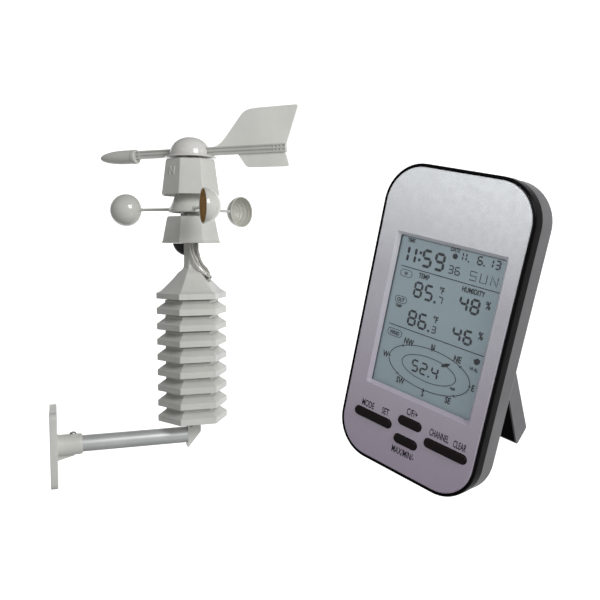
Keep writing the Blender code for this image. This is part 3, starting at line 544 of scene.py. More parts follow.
PALE = moulded("pale_plastic", srgb(206, 206, 201), 0.40)
PALE_SMOOTH = moulded("pale_smooth", srgb(218, 217, 213), 0.17, grain=0.05, dust=0.1, Coat_Weight=0.3)
# Painted light: the fin is the same pale plastic painted paler, for the strong light that falls on its side.
FIN_PAINTED_LIGHT = moulded("fin_plastic_painted_light", srgb(242, 242, 236), 0.42, grain=0.2)
CUP = moulded("cup_plastic", srgb(205, 206, 200), 0.16, grain=0.04, dust=0.1, edge=0.1, Coat_Weight=0.3)
CUP_INSIDE = moulded("cup_inside", srgb(192, 192, 184), 0.36, grain=0.15, spread=0.12)
GREY = moulded("grey_plastic", srgb(100, 99, 101), 0.48, grain=0.4, edge=0.12)
DARK = moulded("dark_plastic", srgb(34, 33, 36), 0.4, spread=0.2, edge=0.1)
RUBBER = moulded("black_rubber", srgb(30, 29, 31), 0.7, spread=0.2, edge=0.05)
GLOSS = glossy("black_gloss", srgb(9, 8, 10), 0.3, Specular_IOR_Level=0.04)
KEY = glossy("key_gloss", srgb(24, 18, 20), 0.34, Specular_IOR_Level=0.2)
INK = glossy("label_ink", srgb(34, 30, 42), 0.5, Specular_IOR_Level=0.15)
# Painted shade: near black and matt, for the shade on the kickstand's face towards the body.
STAND_PAINTED_SHADE = moulded("stand_painted_shade", srgb(8, 8, 9), 0.85, spread=0.2, edge=0.02, Specular_IOR_Level=0.05)
SEGMENT = glossy("display_segment", srgb(24, 28, 36), 0.55, Specular_IOR_Level=0.2)
SILVER = silver_paint_with_painted_light()
DISPLAY = display_glass()
COVER = clear_cover()
TUBE = brushed("satin_tube", srgb(206, 208, 208), 0.4, metallic=0.45)
STEEL = brushed("plain_steel", srgb(150, 148, 146), 0.3, (60, 60, 600))
CIRCUIT = circuit()
LEAD = moulded("lead_jacket", srgb(196, 194, 188), 0.5, spread=0.1, grain=0.1)
SLEEVE = braided()
CELL = glossy("cell_wrap", srgb(70, 74, 110), 0.25)
MAGNET = brushed("magnet_metal", srgb(110, 110, 114), 0.4)
CLAMP_GREY = moulded("clamp_grey", srgb(150, 146, 148), 0.4)
# Painted shade: the near cup's lining is painted warm brown for the shade and warm reflection in its mouth.
CUP_PAINTED_SHADE = moulded("cup_inside_painted_shade", srgb(190, 152, 94), 0.34, grain=0.15, spread=0.2)
STAND_GREY = moulded("stand_grey", srgb(96, 95, 98), 0.42, grain=0.35, edge=0.12)
# The finishes of each material slot. CAD nodes that still show take the first.
SLOTS = {
    "pale_plastic": (PALE, PALE_SMOOTH, FIN_PAINTED_LIGHT),
    "cup_plastic": (CUP, CUP_INSIDE, CUP_PAINTED_SHADE),
    "satin_tube": (TUBE,),
    "steel": (STEEL,),
    "dark_plastic": (DARK, CLAMP_GREY),
    "black_gloss": (GLOSS, KEY),
    "silver_face": (SILVER, INK),
    "grey_plastic": (GREY, STAND_GREY, STAND_PAINTED_SHADE),
    "display": (DISPLAY, SEGMENT),
    "clear_window": (COVER,),
    "circuit_board": (CIRCUIT,),
    "rubber": (RUBBER,),
    "cable_jacket": (LEAD, SLEEVE),
    "battery_wrap": (CELL,),
    "magnet": (MAGNET,),
}


# ---------------------------------------------------------------- wall plate, arm and elbow
PLATE_THICK = 7.2
PLATE_HALF_WIDTH, PLATE_HALF_HEIGHT = 27, 40
PLATE_HOLE_Y, PLATE_HOLE_Z = 18, 29
BOSS_END, BOSS_BORE = 32.2, 9.05
TUBE_OUTER, TUBE_INNER = 8.75, 7.35
BOSS_SCREW_X, BOSS_SCREW_Z = 22.95, 11.3
ELBOW_SCREW_X, ELBOW_SCREW_Z = -3.6, 12
SCREW_HOLE = 1.9


def screw_head(radius, low, high):
    """A pan head with a cross recess, its shank going down."""
    shank, soft, cross_depth = 1.5, 0.4, 0.9
    crown = [(0.05, high), (radius - soft, high), (radius, low + soft), (radius, low), (shank, low)]
    head = turned(fillet(crown, 0.6, 4, False) + [(shank, low - 5), (0.05, low - 5)], 32, False)
    reach, half = 0.7 * radius, 0.16 * radius
    cross = [
        box((-x, -y, high - cross_depth), (x, y, high + 1)) for x, y in ((reach, half), (half, reach))
    ]
    return combined(head, cross)


def build_wall_arm():
    """The wall bracket with its boss, web and collar, and the tube that carries the mast."""
    half, tall = PLATE_HALF_WIDTH, PLATE_HALF_HEIGHT
    outline = fillet([(-half, -tall), (half, -tall), (half, tall), (-half, tall)], 8, 8)
    base = plate(outline, 0, PLATE_THICK, lambda u, v, w: (w, u, v), 0.9)
    profile = [(0, 13.2), (0.08, 12.9), (0.12, 11.7), (0.17, 11.1), (0.9, 10.9), (0.96, 10.7), (1, 10.2)]
    boss = rod(0, (4.0, 0, 0), (BOSS_END, 0, 0), 64, profile)
    web = plate([(5, -17), (24, -11.9), (26, -9), (5, -9)], -1.6, 1.6, standing)
    collar_ends = (BOSS_SCREW_X, 0, 8), (BOSS_SCREW_X, 0, BOSS_SCREW_Z)
    collar = rod(0, *collar_ends, 32, [(0, 4.6), (0.85, 4.4), (1, 4.0)])
    shape = combined(base, [boss, web, collar], "UNION")
    cuts = [rod(BOSS_BORE, (PLATE_THICK, 0, 0), (BOSS_END + 1, 0, 0), 64)]
    cuts.append(rod(SCREW_HOLE, (BOSS_SCREW_X, 0, 5), (BOSS_SCREW_X, 0, 20), 24))
    for y in (-PLATE_HOLE_Y, PLATE_HOLE_Y):
        for z in (-PLATE_HOLE_Z, PLATE_HOLE_Z):
            cuts.append(rod(2.3, (-1, y, z), (12, y, z), 28))
            mouth = (PLATE_THICK - 2.2, y, z), (PLATE_THICK + 0.1, y, z)
            cuts.append(rod(0, *mouth, 28, [(0, 2.3), (1, 4.6)]))
    piece("wall_bracket", combined(shape, cuts), PALE, "mast", ROW, ("wall_plate",), 0.2)
    start = PLATE_THICK + 0.3
    length = MAST_X - 7.5 - start
    wall = [(TUBE_OUTER, 0), (TUBE_OUTER, length), (TUBE_INNER, length), (TUBE_INNER, 0)]
    tube = moved(turned(fillet(wall, 0.3, 3), 64), shift(start) @ spin(90, "Y"))
    tube = combined(tube, [rod(SCREW_HOLE, (BOSS_SCREW_X, 0, 2), (BOSS_SCREW_X, 0, 20), 24)])
    piece("drawn_tube", tube, TUBE, "mast", ROW, ("arm_tube",))
    head = screw_head(3.4, BOSS_SCREW_Z, 13.0)
    piece("boss_screw_head", head, STEEL, "mast", shift(BOSS_SCREW_X), ("boss_screw",))


def build_elbow():
    """The post under the shield, with its six-sided floor, the spigot in the tube and three towers."""
    low, high = SHIELD_BASE + 0.6, SHIELD_BASE + 3.0
    half = 7.2
    post = plate([(-half, -13.4), (half, 4.0), (half, low + 1), (-half, low + 1)], -half, half, standing)
    cheek = [(-5.6, -8.6), (5.6, 4.8), (5.6, low - 2), (-5.6, low - 2)]
    recess = plate(fillet(cheek, 1.2, 3), 6.7, 8.0, standing)
    hole = rod(SCREW_HOLE, (ELBOW_SCREW_X, -8.2, ELBOW_SCREW_Z), (ELBOW_SCREW_X, -1, ELBOW_SCREW_Z), 24)
    post = combined(post, [recess, hole])
    floor = prism(fillet([(31.5, low), (31.5, high), (0.6, high), (0.6, low)], 0.5, 3), 6, corner=1.0)
    spigot = rod(0, (-25.2, 0, 0), (-6.2, 0, 0), 48, [(0, 6.4), (0.05, 7.05), (1, 7.05)])
    towers = [spacer(place, high - 0.5, SHIELD_BASE + SPACER_END) for place in rod_places()]
    shape = joined(post, floor, spigot, *towers)
    piece("elbow_body", shape, PALE, "mast", MAST, ("elbow_post",), 0.3)
    lying = MAST @ shift(ELBOW_SCREW_X, 0, ELBOW_SCREW_Z) @ spin(90, "X")
    piece("elbow_screw_head", screw_head(3.0, 5.9, 7.3), STEEL, "mast", lying, ("elbow_screw",))


# ---------------------------------------------------------------- shield
ROD_RING = 23.0
CORE, RIM = 29.6, 38.7
SPACER_END = 13.3  # how far a spacer reaches above the foot of the plate that it meets


def rod_places():
    """Where the shield's three long rods run."""
    back, side = -ROD_RING / 2, ROD_RING * math.sqrt(0.75)
    return [Vector((ROD_RING, 0, 0)), Vector((back, side, 0)), Vector((back, -side, 0))]


def spacer(place, low, high):
    return rod(3.2, place + Vector((0, 0, low)), place + Vector((0, 0, high)), 24)


def build_shield():
    """Eight plates with rounded rims and their spacers, then the cap with its hollow neck."""
    for number in range(1, LOUVRES + 1):
        base = CAP_EAVE - number * PITCH
        profile = [(RIM, 0), (RIM, 6.4), (CORE, 12.6), (CORE, 15.2), (20, 15.2), (20, 13.6), (27.2, 13.6)]
        profile += [(27.2, 11.4), (36.3, 5.0), (36.3, 0)]
        rings = [(r, base + z) for r, z in fillet(profile, 0.55, 3)]
        top = base + PITCH + SPACER_END if number > 1 else CAP_EAVE + 7.4
        shapes = [prism(rings, 6, corner=1.3), *(spacer(place, base + 14.1, top) for place in rod_places())]
        piece(f"shield_plate_{number}", joined(*shapes), PALE, "mast", MAST, (f"louvre_{number}",))
    eave, neck = 38.9, 8.3
    sweep = [(eave, 6.3), (34.4, 8.2), (28.8, 13.0), (20.4, 21.4), (15.2, 27.4), (11.2, 30.6), (8.9, 33.4)]
    outer = [(eave, 0.0), (eave, 5.8)] + [tuple(p) for p in smooth_line(sweep, 5)[2:]] + [(neck, 38.0)]
    top = [(neck, 59.4), (10.4, 60.4), (10.4, 62.4), (6.1, 62.4)]
    inner = [(6.1, 36.0), (6.7, 33.4), (9.0, 29.2), (12.8, 25.6), (18.4, 20.2), (26.8, 11.6), (32.2, 6.6)]
    inner += [(36.6, 4.6), (36.6, 0)]
    rings = [(r, CAP_EAVE + z) for r, z in outer + top + inner]
    slot = moved(box((9.5, -4.6, CAP_EAVE + 17.8), (27, 6.2, CAP_EAVE + 27.6)), spin(-30, "Z"))
    cap = combined(prism(rings, 6, corner=1.3), [slot])
    piece("pagoda_cap", cap, PALE, "mast", MAST, ("shield_cap",), 0.22, sharp=32)


# ---------------------------------------------------------------- octagonal housings
NORTH_FACE = 305.3
CLAMP_RADIUS = 15.7


def north_mark(bottom, top, low_radius, high_radius, z):
    """The compass letter that shows which face is set to the north, raised a little."""
    share = (z - bottom) / (top - bottom)
    apothem = math.cos(math.pi / 8) * (low_radius + share * (high_radius - low_radius))
    lean = math.degrees(math.atan2(math.cos(math.pi / 8) * (low_radius - high_radius), top - bottom))
    place = spin(NORTH_FACE, "Z") @ shift(0, -apothem, z) @ spin(-lean, "X")
    return moved(letters("N", 0, 0, 9.5, 0.85, -0.2, 0.7), place)


def build_housings():
    """The lower and upper hoods, and the half-round clamp behind the neck."""
    turn = math.radians(HEAD_TURN)
    lower = [(33.6, 212.7), (33.6, 214.5), (32.8, 215.0), (27.6, 239.8), (26.1, 241.3), (12.0, 241.3)]
    lower += [(12.0, 244.5), (5.8, 244.5), (5.8, 239.1), (24.6, 239.1), (30.9, 214.9), (30.9, 212.7)]
    shape = prism(fillet(lower, 0.7, 4), 8, turn, corner=1.6)
    piece("lower_hood", shape, PALE, "mast", MAST, ("lower_housing",), sharp=30)
    upper = [(33.1, 264.3), (28.0, 300.6), (26.4, 302.2), (6.2, 302.2), (6.2, 299.6), (24.9, 299.6)]
    upper += [(29.4, 275.7), (5.8, 275.7), (5.8, 273.3), (29.7, 273.3), (30.9, 264.3)]
    shape = prism(fillet(upper, 0.7, 4), 8, turn, corner=1.6)
    shape = joined(shape, north_mark(264.3, 302.2, 33.1, 27.9, 289.5))
    piece("upper_hood", shape, PALE, "mast", MAST, ("upper_housing",), sharp=30)

    def trimmed(profile, radius, steps):
        """A round plate on edge, less what would stand above the hood's foot or right of the neck."""
        upright = Matrix.Translation((-12.6, -3.5, 215.5)) @ spin(-90, "Y")
        whole = placed(turned(fillet(profile, radius, steps), 64), upright)
        return combined(whole, [box((-30, -40, 212.4), (0, 40, 260)), box((-30, 4, 150), (0, 40, 260))])

    edge, rim = CLAMP_RADIUS, CLAMP_RADIUS + 1.3
    disc = trimmed([(0.05, 0.3), (edge, 0.3), (edge, 2.3), (0.05, 2.3)], 0.3, 2)
    piece("clamp_plate", disc, DARK, "mast", FRONT, ("clamp_disc",), 0.15)
    hoop = trimmed([(edge, 0), (rim, 0), (rim, 2.6), (edge, 2.6)], 0.4, 3)
    piece("clamp_hoop", hoop, CLAMP_GREY, "mast", FRONT, bevel=0.1)


# ---------------------------------------------------------------- cup rotor
HUB_BASE = 245.2
CUP_RING, CUP_RADIUS, CUP_INNER, CUP_SET_BACK = 76.0, 17.9, 16.6, 3.0
LIP_INNER, LIP_DEPTH = 16.75, 0.35


def build_rotor():
    outer = [(23.9, 0.4), (23.9, 2.8), (22.6, 5.6), (17.2, 17.8), (14.5, 21.5), (8.2, 22.4)]
    inner = [(8.2, 17.0), (5.7, 17.0), (5.7, 5.0), (8.2, 5.0), (8.2, 0), (10.6, 0), (10.6, 16.4)]
    inner += [(15.2, 16.4), (21.4, 2.4), (21.4, 0.4)]
    rings = [(r, HUB_BASE + z) for r, z in fillet(outer + inner, 0.8, 4)]
    shapes = [turned(rings, 96)]
    for number in range(3):
        angle = math.radians(FIRST_CUP + 120 * number)
        way = Vector((math.cos(angle), math.sin(angle), 0))
        lift = Vector((0, 0, ROTOR_Z))
        stub = [(0, 3.4), (0.6, 3.0), (0.9, 2.8), (1, 2.4)]
        shapes.append(rod(0, way * 19.5 + lift, way * 24.4 + lift, 28, stub))
    piece("rotor_hub", joined(*shapes), CUP, "rotor", MAST, ("cup_hub",), sharp=30)
    for number in range(3):
        build_cup(number + 1, FIRST_CUP + 120 * number)


def without_cap(bm, place):
    """A bowl set in its place, without the flat face that closes its mouth."""
    flat = [face for face in bm.faces if len(face.verts) > 4 and face.calc_center_median().z < 1]
    bmesh.ops.delete(bm, geom=flat, context="FACES_ONLY")
    return placed(bm, place)


def build_cup(number, angle):
    """A bowl with a rolled lip, a ringed inside and a tapered arm back to the hub."""
    place = MAST @ shift(0, 0, ROTOR_Z) @ spin(angle, "Z")
    to_side = Matrix.Translation((CUP_RING, -CUP_SET_BACK, 0)) @ spin(-90, "X")
    outer = []
    for i in range(25):
        a = math.radians(89.8 - 89.8 * i / 24)
        outer.append((CUP_RADIUS * math.cos(a), CUP_RADIUS * math.sin(a)))
    lip = [(17.75, 0.0), (17.0, 0.0), (LIP_INNER, LIP_DEPTH)]
    bowl = loft([circle(r, z, 72) for r, z in outer[:-1] + [(CUP_RADIUS, LIP_DEPTH)] + lip])
    bowl = without_cap(bowl, to_side)
    reach = CUP_RING - CUP_RADIUS + 0.9
    taper = [(0, 1.75), (0.1, 1.6), (0.88, 1.55), (0.96, 1.9), (1, 2.7)]
    arm = rod(0, (24.6, 0, 0), (reach, 0, 0), 28, taper)
    piece(f"bowl_{number}", joined(bowl, arm), CUP, "rotor", place, (f"cup_{number}",), sharp=50)
    inside = [(LIP_INNER, LIP_DEPTH)]
    for i in range(41):
        a = 88.0 * i / 40 + 1.2
        ridge = sum(0.4 * math.exp(-(((a - middle) / 2.4) ** 2)) for middle in (18, 34, 50, 66))
        radius = CUP_INNER - ridge
        inside.append((radius * math.cos(math.radians(a)), radius * math.sin(math.radians(a))))
    lining = without_cap(loft([circle(r, z, 72) for r, z in inside]), to_side)
    # The near cup's lining takes the painted warm shade, the others the plain lining.
    finish = CUP_PAINTED_SHADE if number == 1 else CUP_INSIDE
    piece(f"bowl_lining_{number}", lining, finish, "rotor", place, sharp=50)


# ---------------------------------------------------------------- wind vane
BOOM_START, BOOM_END = -70.5, 112.0
BOOM_HALF, BOOM_HALF_THICK = 4.4, 2.7
DOME_RADIUS, DOME_FOOT, DOME_RISE = 22.3, 307.0, 19.9


def build_dome():
    """A dome a little squarer than a ball, on a flanged foot, with a slot for the boom."""
    profile = [(20.3, 304.2), (27.8, 304.2), (28.2, 304.6), (28.2, 305.3), (27.5, 306.0), (23.9, 306.0)]
    profile += [(23.6, 305.3), (22.7, 305.3), (DOME_RADIUS, 306.0)]
    power = 2 / 2.1
    for i in range(28):
        a = math.radians(90 * i / 28)
        height = DOME_FOOT + DOME_RISE * math.sin(a) ** power
        profile.append((DOME_RADIUS * math.cos(a) ** power, height))
    profile.append((0.1, DOME_FOOT + DOME_RISE))
    shell = loft([circle(r, z, 96) for r, z in profile])
    slot = box((-40, -3.0, 305.9), (40, 3.0, BOOM_Z + BOOM_HALF + 0.3))
    piece("dome_shell", combined(shell, [slot]), PALE_SMOOTH, "vane", VANE, ("vane_dome",), 0.12, sharp=35)


def build_boom():
    """A bar with three long ribs and two grooves on each side, and cross ribs near its ends."""
    half, deep = BOOM_HALF_THICK, 1.75
    levels = [-4.4, -2.9, -2.7, -1.0, -0.8, 0.8, 1.0, 2.7, 2.9, 4.4]
    depths = [half, half, deep, deep, half, half, deep, deep, half, half]
    side = list(zip(depths, levels))
    section = side + [(-d, z) for d, z in reversed(side)]
    shapes = [across([(y, BOOM_Z + z) for y, z in section], BOOM_START, BOOM_END)]
    for x in (-64, 98.0, 102.0, 106.0, 110.6):
        shapes.append(box((x, 0.1 - half, BOOM_Z - 4.0), (x + 1.2, half - 0.1, BOOM_Z + 4.0)))
    piece("boom_bar", joined(*shapes), PALE, "vane", VANE, ("vane_boom",), 0.18)
    upper = [(23.0, 4.2), (27.0, 4.4), (32.5, 5.6), (38.0, 9.0), (43.6, 15.0), (59.0, 34.0)]
    corner = [(62.5, 38.0), (66.5, 40.6), (71.5, 42.0), (80.0, 42.6)]
    tail = [(125.5, 43.2), (112.6, 4.4), (111.4, -4.4), (115.4, -18.0), (113.8, -19.2)]
    lower = [(70.2, -18.6), (66.8, -17.4), (65.0, -15.0), (57.4, -4.4), (23.0, -4.2)]
    outline = [(x, BOOM_Z + z) for x, z in fillet(upper + corner + tail + lower, 2.2, 3)]
    fin = plate(outline, -1.1, 1.1, standing, 0.45)
    piece("fin_plate", fin, FIN_PAINTED_LIGHT, "vane", VANE, ("tail_fin",))


def build_nose():
    """The bullet that balances the fin, with a grooved collar at its back and a pocket for the boom."""
    tip, end, radius = -114.8, -66.9, 7.7
    length = end - tip
    profile = [(0.15, 0.0)]
    for i in range(1, 29):
        t = (i / 28) ** 1.7
        profile.append((radius * math.sqrt(1 - (1 - t) ** 2.2), 0.72 * length * t))
    profile += [(radius, 0.86 * length), (radius - 0.25, 0.875 * length), (radius - 0.25, 0.885 * length)]
    profile += [(radius + 0.2, 0.9 * length), (radius + 0.3, 0.92 * length), (radius + 0.3, 0.97 * length)]
    profile += [(radius, 0.99 * length), (radius - 0.6, length), (0.15, length)]
    shape = loft([circle(r, z, 72) for r, z in profile])
    shape = moved(shape, shift(tip, 0, BOOM_Z - 1.7) @ spin(90, "Y"))
    pocket = box((BOOM_START - 0.3, -3.0, BOOM_Z - 4.7), (end + 1, 3.0, BOOM_Z + 4.7))
    piece("nose_bullet", combined(shape, [pocket]), PALE, "vane", VANE, ("nose_weight",), 0.1, sharp=35)


# ---------------------------------------------------------------- leads
def swept(points, radii, sides=20):
    """A round tube along points, its radius given at each of them."""
    rings = []
    side = Vector((0, 1, 0))
    for i, point in enumerate(points):
        along = (points[min(i + 1, len(points) - 1)] - points[max(i - 1, 0)]).normalized()
        side = (side - along * side.dot(along)).normalized()
        other = along.cross(side)
        ring = []
        for k in range(sides):
            a = 2 * math.pi * k / sides
            ring.append(point + (side * math.cos(a) + other * math.sin(a)) * radii[i])
        rings.append(ring)
    return loft(rings)


def build_leads():
    """Two thin leads and a sleeved bundle, from the lower hood into the slot in the cap."""
    first = [(12.6, -2.4, 222), (12.6, -2.2, 211), (12.4, 0, 200), (12.2, 5, 189), (12.2, 12, 180.6)]
    first += [(10.3, 17.8, 176.8), (7.0, 19.1, 174.7), (5.5, 16.9, 171.3)]
    second = [(12.6, 0.4, 222), (12.6, 0.5, 211), (12.4, 2.8, 201), (12, 7.6, 190.8), (11.6, 13.8, 182.8)]
    second += [(9, 19, 178.2), (5.4, 21.2, 175.4), (2.8, 18.4, 172.0)]
    bundle = [(10.4, 5.4, 222), (10.4, 5.6, 211), (10.2, 6.8, 202), (9.2, 10.2, 191.2), (7, 15.4, 184.6)]
    bundle += [(4.6, 18.2, 179.6), (2.2, 16.6, 174.8)]
    leads = (("lead_1", "cable_1", first, 0.9, LEAD), ("lead_2", "cable_2", second, 0.9, LEAD))
    leads += (("lead_sleeve", "cable_sleeve", bundle, 1.9, SLEEVE),)
    for name, node, route, radius, finish in leads:
        points = smooth_line([route[0], *route, route[-1]], 12)[12:-12] + [Vector(route[-1])]
        points = [p for p, q in zip(points, points[1:]) if (q - p).length > 0.05] + [points[-1]]
        wave = 0.07 if node == "cable_sleeve" else 0.0
        radii = [radius * (1 - wave + wave * math.sin(0.55 * i)) for i in range(len(points))]
        obj = piece(name, swept(points, radii), finish, "mast", FRONT, (node,), sharp=70)


# ---------------------------------------------------------------- console
FACE_HALF_WIDTH, FACE_SHIFT, FACE_TOP, FACE_BOTTOM = 45.5, -2.0, 81.8, -87.5
TOP_CORNER, BOTTOM_CORNER = 22.6, 21.7
RIM_DEPTH, BODY_DEPTH = 7.5, 22.0
WINDOW_X, WINDOW_Z = 34.15, 44.0
STAND_Y, STAND_Z, STAND_OPEN = 18.0, -2.0, 40.4
STAND_HALF, STAND_LENGTH, STAND_BACK, STAND_THICK = 35.3, 76.0, 73.5, 12.0
REAR_SCREW_Z, REAR_SCREW_DEPTH = 66, 1.4
BAY_HALF, BAY_LOW, BAY_HIGH = 24, 13, 37
BEHIND_BODY = 24  # well behind the case, for cutters
KEY_HALF_HEIGHT, KEY_GAP = 2.4, 0.4
KEYS = {  # centre in x and z, half width
    "mode_set": (-24.5, -62.1, 13.0),
    "plus": (0.0, -56.4, 7.5),
    "minus": (-0.3, -67.3, 7.5),
    "channel_clear": (24.2, -62.1, 13.0),
}


def face_ring(inset, y, steps=14):
    """The console's outline at depth y, moved inwards by inset."""
    points = []
    corners = ((1, FACE_BOTTOM, BOTTOM_CORNER, -90), (1, FACE_TOP, TOP_CORNER, 0))
    corners += ((-1, FACE_TOP, TOP_CORNER, 90), (-1, FACE_BOTTOM, BOTTOM_CORNER, 180))
    for side, edge, radius, first in corners:
        centre_x = FACE_SHIFT + side * (FACE_HALF_WIDTH - radius)
        centre_z = edge - math.copysign(radius, edge)
        reach = radius - inset
        for i in range(steps + 1):
            angle = math.radians(first + 90 * i / steps)
            points.append(Vector((centre_x + reach * math.cos(angle), y, centre_z + reach * math.sin(angle))))
    return points


def band(profile, closed=True, radius=0.4, steps=3):
    """A ring swept round the console's outline from an (inset, depth) profile."""
    return loft([face_ring(inset, y) for inset, y in fillet(profile, radius, steps, closed)], closed)


def window_ring(grow, y, corner=0.6):
    """The display window's outline at depth y, moved outwards by grow."""
    points = []
    for cx, cz, first in ((1, -1, -90), (1, 1, 0), (-1, 1, 90), (-1, -1, 180)):
        for i in range(4):
            angle = math.radians(first + 30 * i)
            x = cx * (WINDOW_X + grow - corner) + corner * math.cos(angle)
            points.append(Vector((x, y, cz * (WINDOW_Z + grow - corner) + corner * math.sin(angle))))
    return points


def pill(half_width, half_height, y, steps=10):
    """A bar with round ends, about the middle of the face plane, at depth y."""
    points = []
    for centre, first in ((half_width - half_height, -90), (half_height - half_width, 90)):
        for i in range(steps + 1):
            angle = math.radians(first + 180 * i / steps)
            points.append(Vector((centre + half_height * math.cos(angle), y, half_height * math.sin(angle))))
    return points


def letters(text, x, z, height, squeeze=0.8, y=0.0, depth=0.05, bold=0.0):
    """Text in the console's face plane, centred on x and z, as a mesh of that capital height."""
    curve = bpy.data.curves.new("letters", "FONT")
    curve.body = text
    curve.align_x = "CENTER"
    curve.size = height / 0.72
    curve.offset = bold * height
    curve.extrude = depth / 2
    curve.resolution_u = 4
    obj = add_object("letters", curve)
    bpy.context.view_layer.update()
    mesh = evaluated(obj)
    bm = bmesh.new()
    bm.from_mesh(mesh)
    bpy.data.objects.remove(obj, do_unlink=True)
    bpy.data.curves.remove(curve)
    bpy.data.meshes.remove(mesh)
    upright = Matrix.Rotation(math.pi / 2, 4, "X")
    place = Matrix.Translation((x, y, z - height / 2)) @ upright @ Matrix.Diagonal((squeeze, 1, 1, 1))
    return placed(bm, place)


def stroke(points, width, y, depth=0.08, closed=False):
    """A drawn line of that width in the face plane."""
    points = [Vector(p) for p in points]
    count = len(points)
    left, right = [], []
    for i, point in enumerate(points):
        before = points[i - 1] if i or closed else point
        after = points[(i + 1) % count] if i < count - 1 or closed else point
        along = (after - before).normalized()
        side = Vector((-along.y, along.x)) * width / 2
        left.append(point + side)
        right.append(point - side)
    bm = bmesh.new()
    rows = []
    for a, b in zip(left, right):
        corners = ((a, y), (b, y), (b, y + depth), (a, y + depth))
        rows.append([bm.verts.new((p.x, w, p.y)) for p, w in corners])
    pairs = list(zip(rows, rows[1:]))
    if closed:
        pairs.append((rows[-1], rows[0]))
    for first, second in pairs:
        for k in range(4):
            bm.faces.new((first[k], first[(k + 1) % 4], second[(k + 1) % 4], second[k]))
    if not closed:
        bm.faces.new(rows[0])
        bm.faces.new(reversed(rows[-1]))
    return bm


INK_DEPTH = 0.08
SEGMENTS = {
    "0": "abcdef", "1": "bc", "2": "abged", "3": "abgcd", "4": "fgbc", "5": "afgcd",
    "6": "afgedc", "7": "abc", "8": "abcdefg", "9": "abcdfg",
}


def digits(text, left, low, width, height, thick, y, gap=1.25):
    """Seven-segment figures, with points and colons between them."""
    shapes = []
    x = left
    for sign in text:
        if sign == " ":
            x += width * 0.55
            continue
        if sign in ".:":
            for z in (0.0,) if sign == "." else (0.25 * height, 0.65 * height):
                shapes.append(box((x, y, low + z), (x + thick, y + INK_DEPTH, low + z + thick)))
            x += thick + 0.45 * gap
            continue
        start = x - 0.5 * width if sign == "1" else x
        half, lean = thick / 2, thick * 0.14
        lying = {"a": height - half, "g": height / 2, "d": half}
        upright = {"f": (0, 1), "e": (0, 0), "b": (1, 1), "c": (1, 0)}
        for segment in SEGMENTS[sign]:
            if segment in lying:
                a, b = start + half + lean, start + width - half - lean
            else:
                side, upper = upright[segment]
                middle = start + width - half if side else start + half
                a = low + (height / 2 if upper else half) + lean
                b = low + (height - half if upper else height / 2) - lean
            bar = [(a, 0), (a + half, half), (b - half, half), (b, 0), (b - half, -half), (a + half, -half)]
            if segment in lying:
                line = [(u, low + lying[segment] + v) for u, v in bar]
            else:
                line = [(middle + v, u) for u, v in bar]
            shapes.append(plate(line, y, y + INK_DEPTH, standing))
        x = start + width + gap
    return shapes


def oval(x, z, half_x, half_z, width, y, steps=72):
    points = []
    for i in range(steps):
        angle = 2 * math.pi * i / steps
        points.append((x + half_x * math.cos(angle), z + half_z * math.sin(angle)))
    return stroke(points, width, y, closed=True)


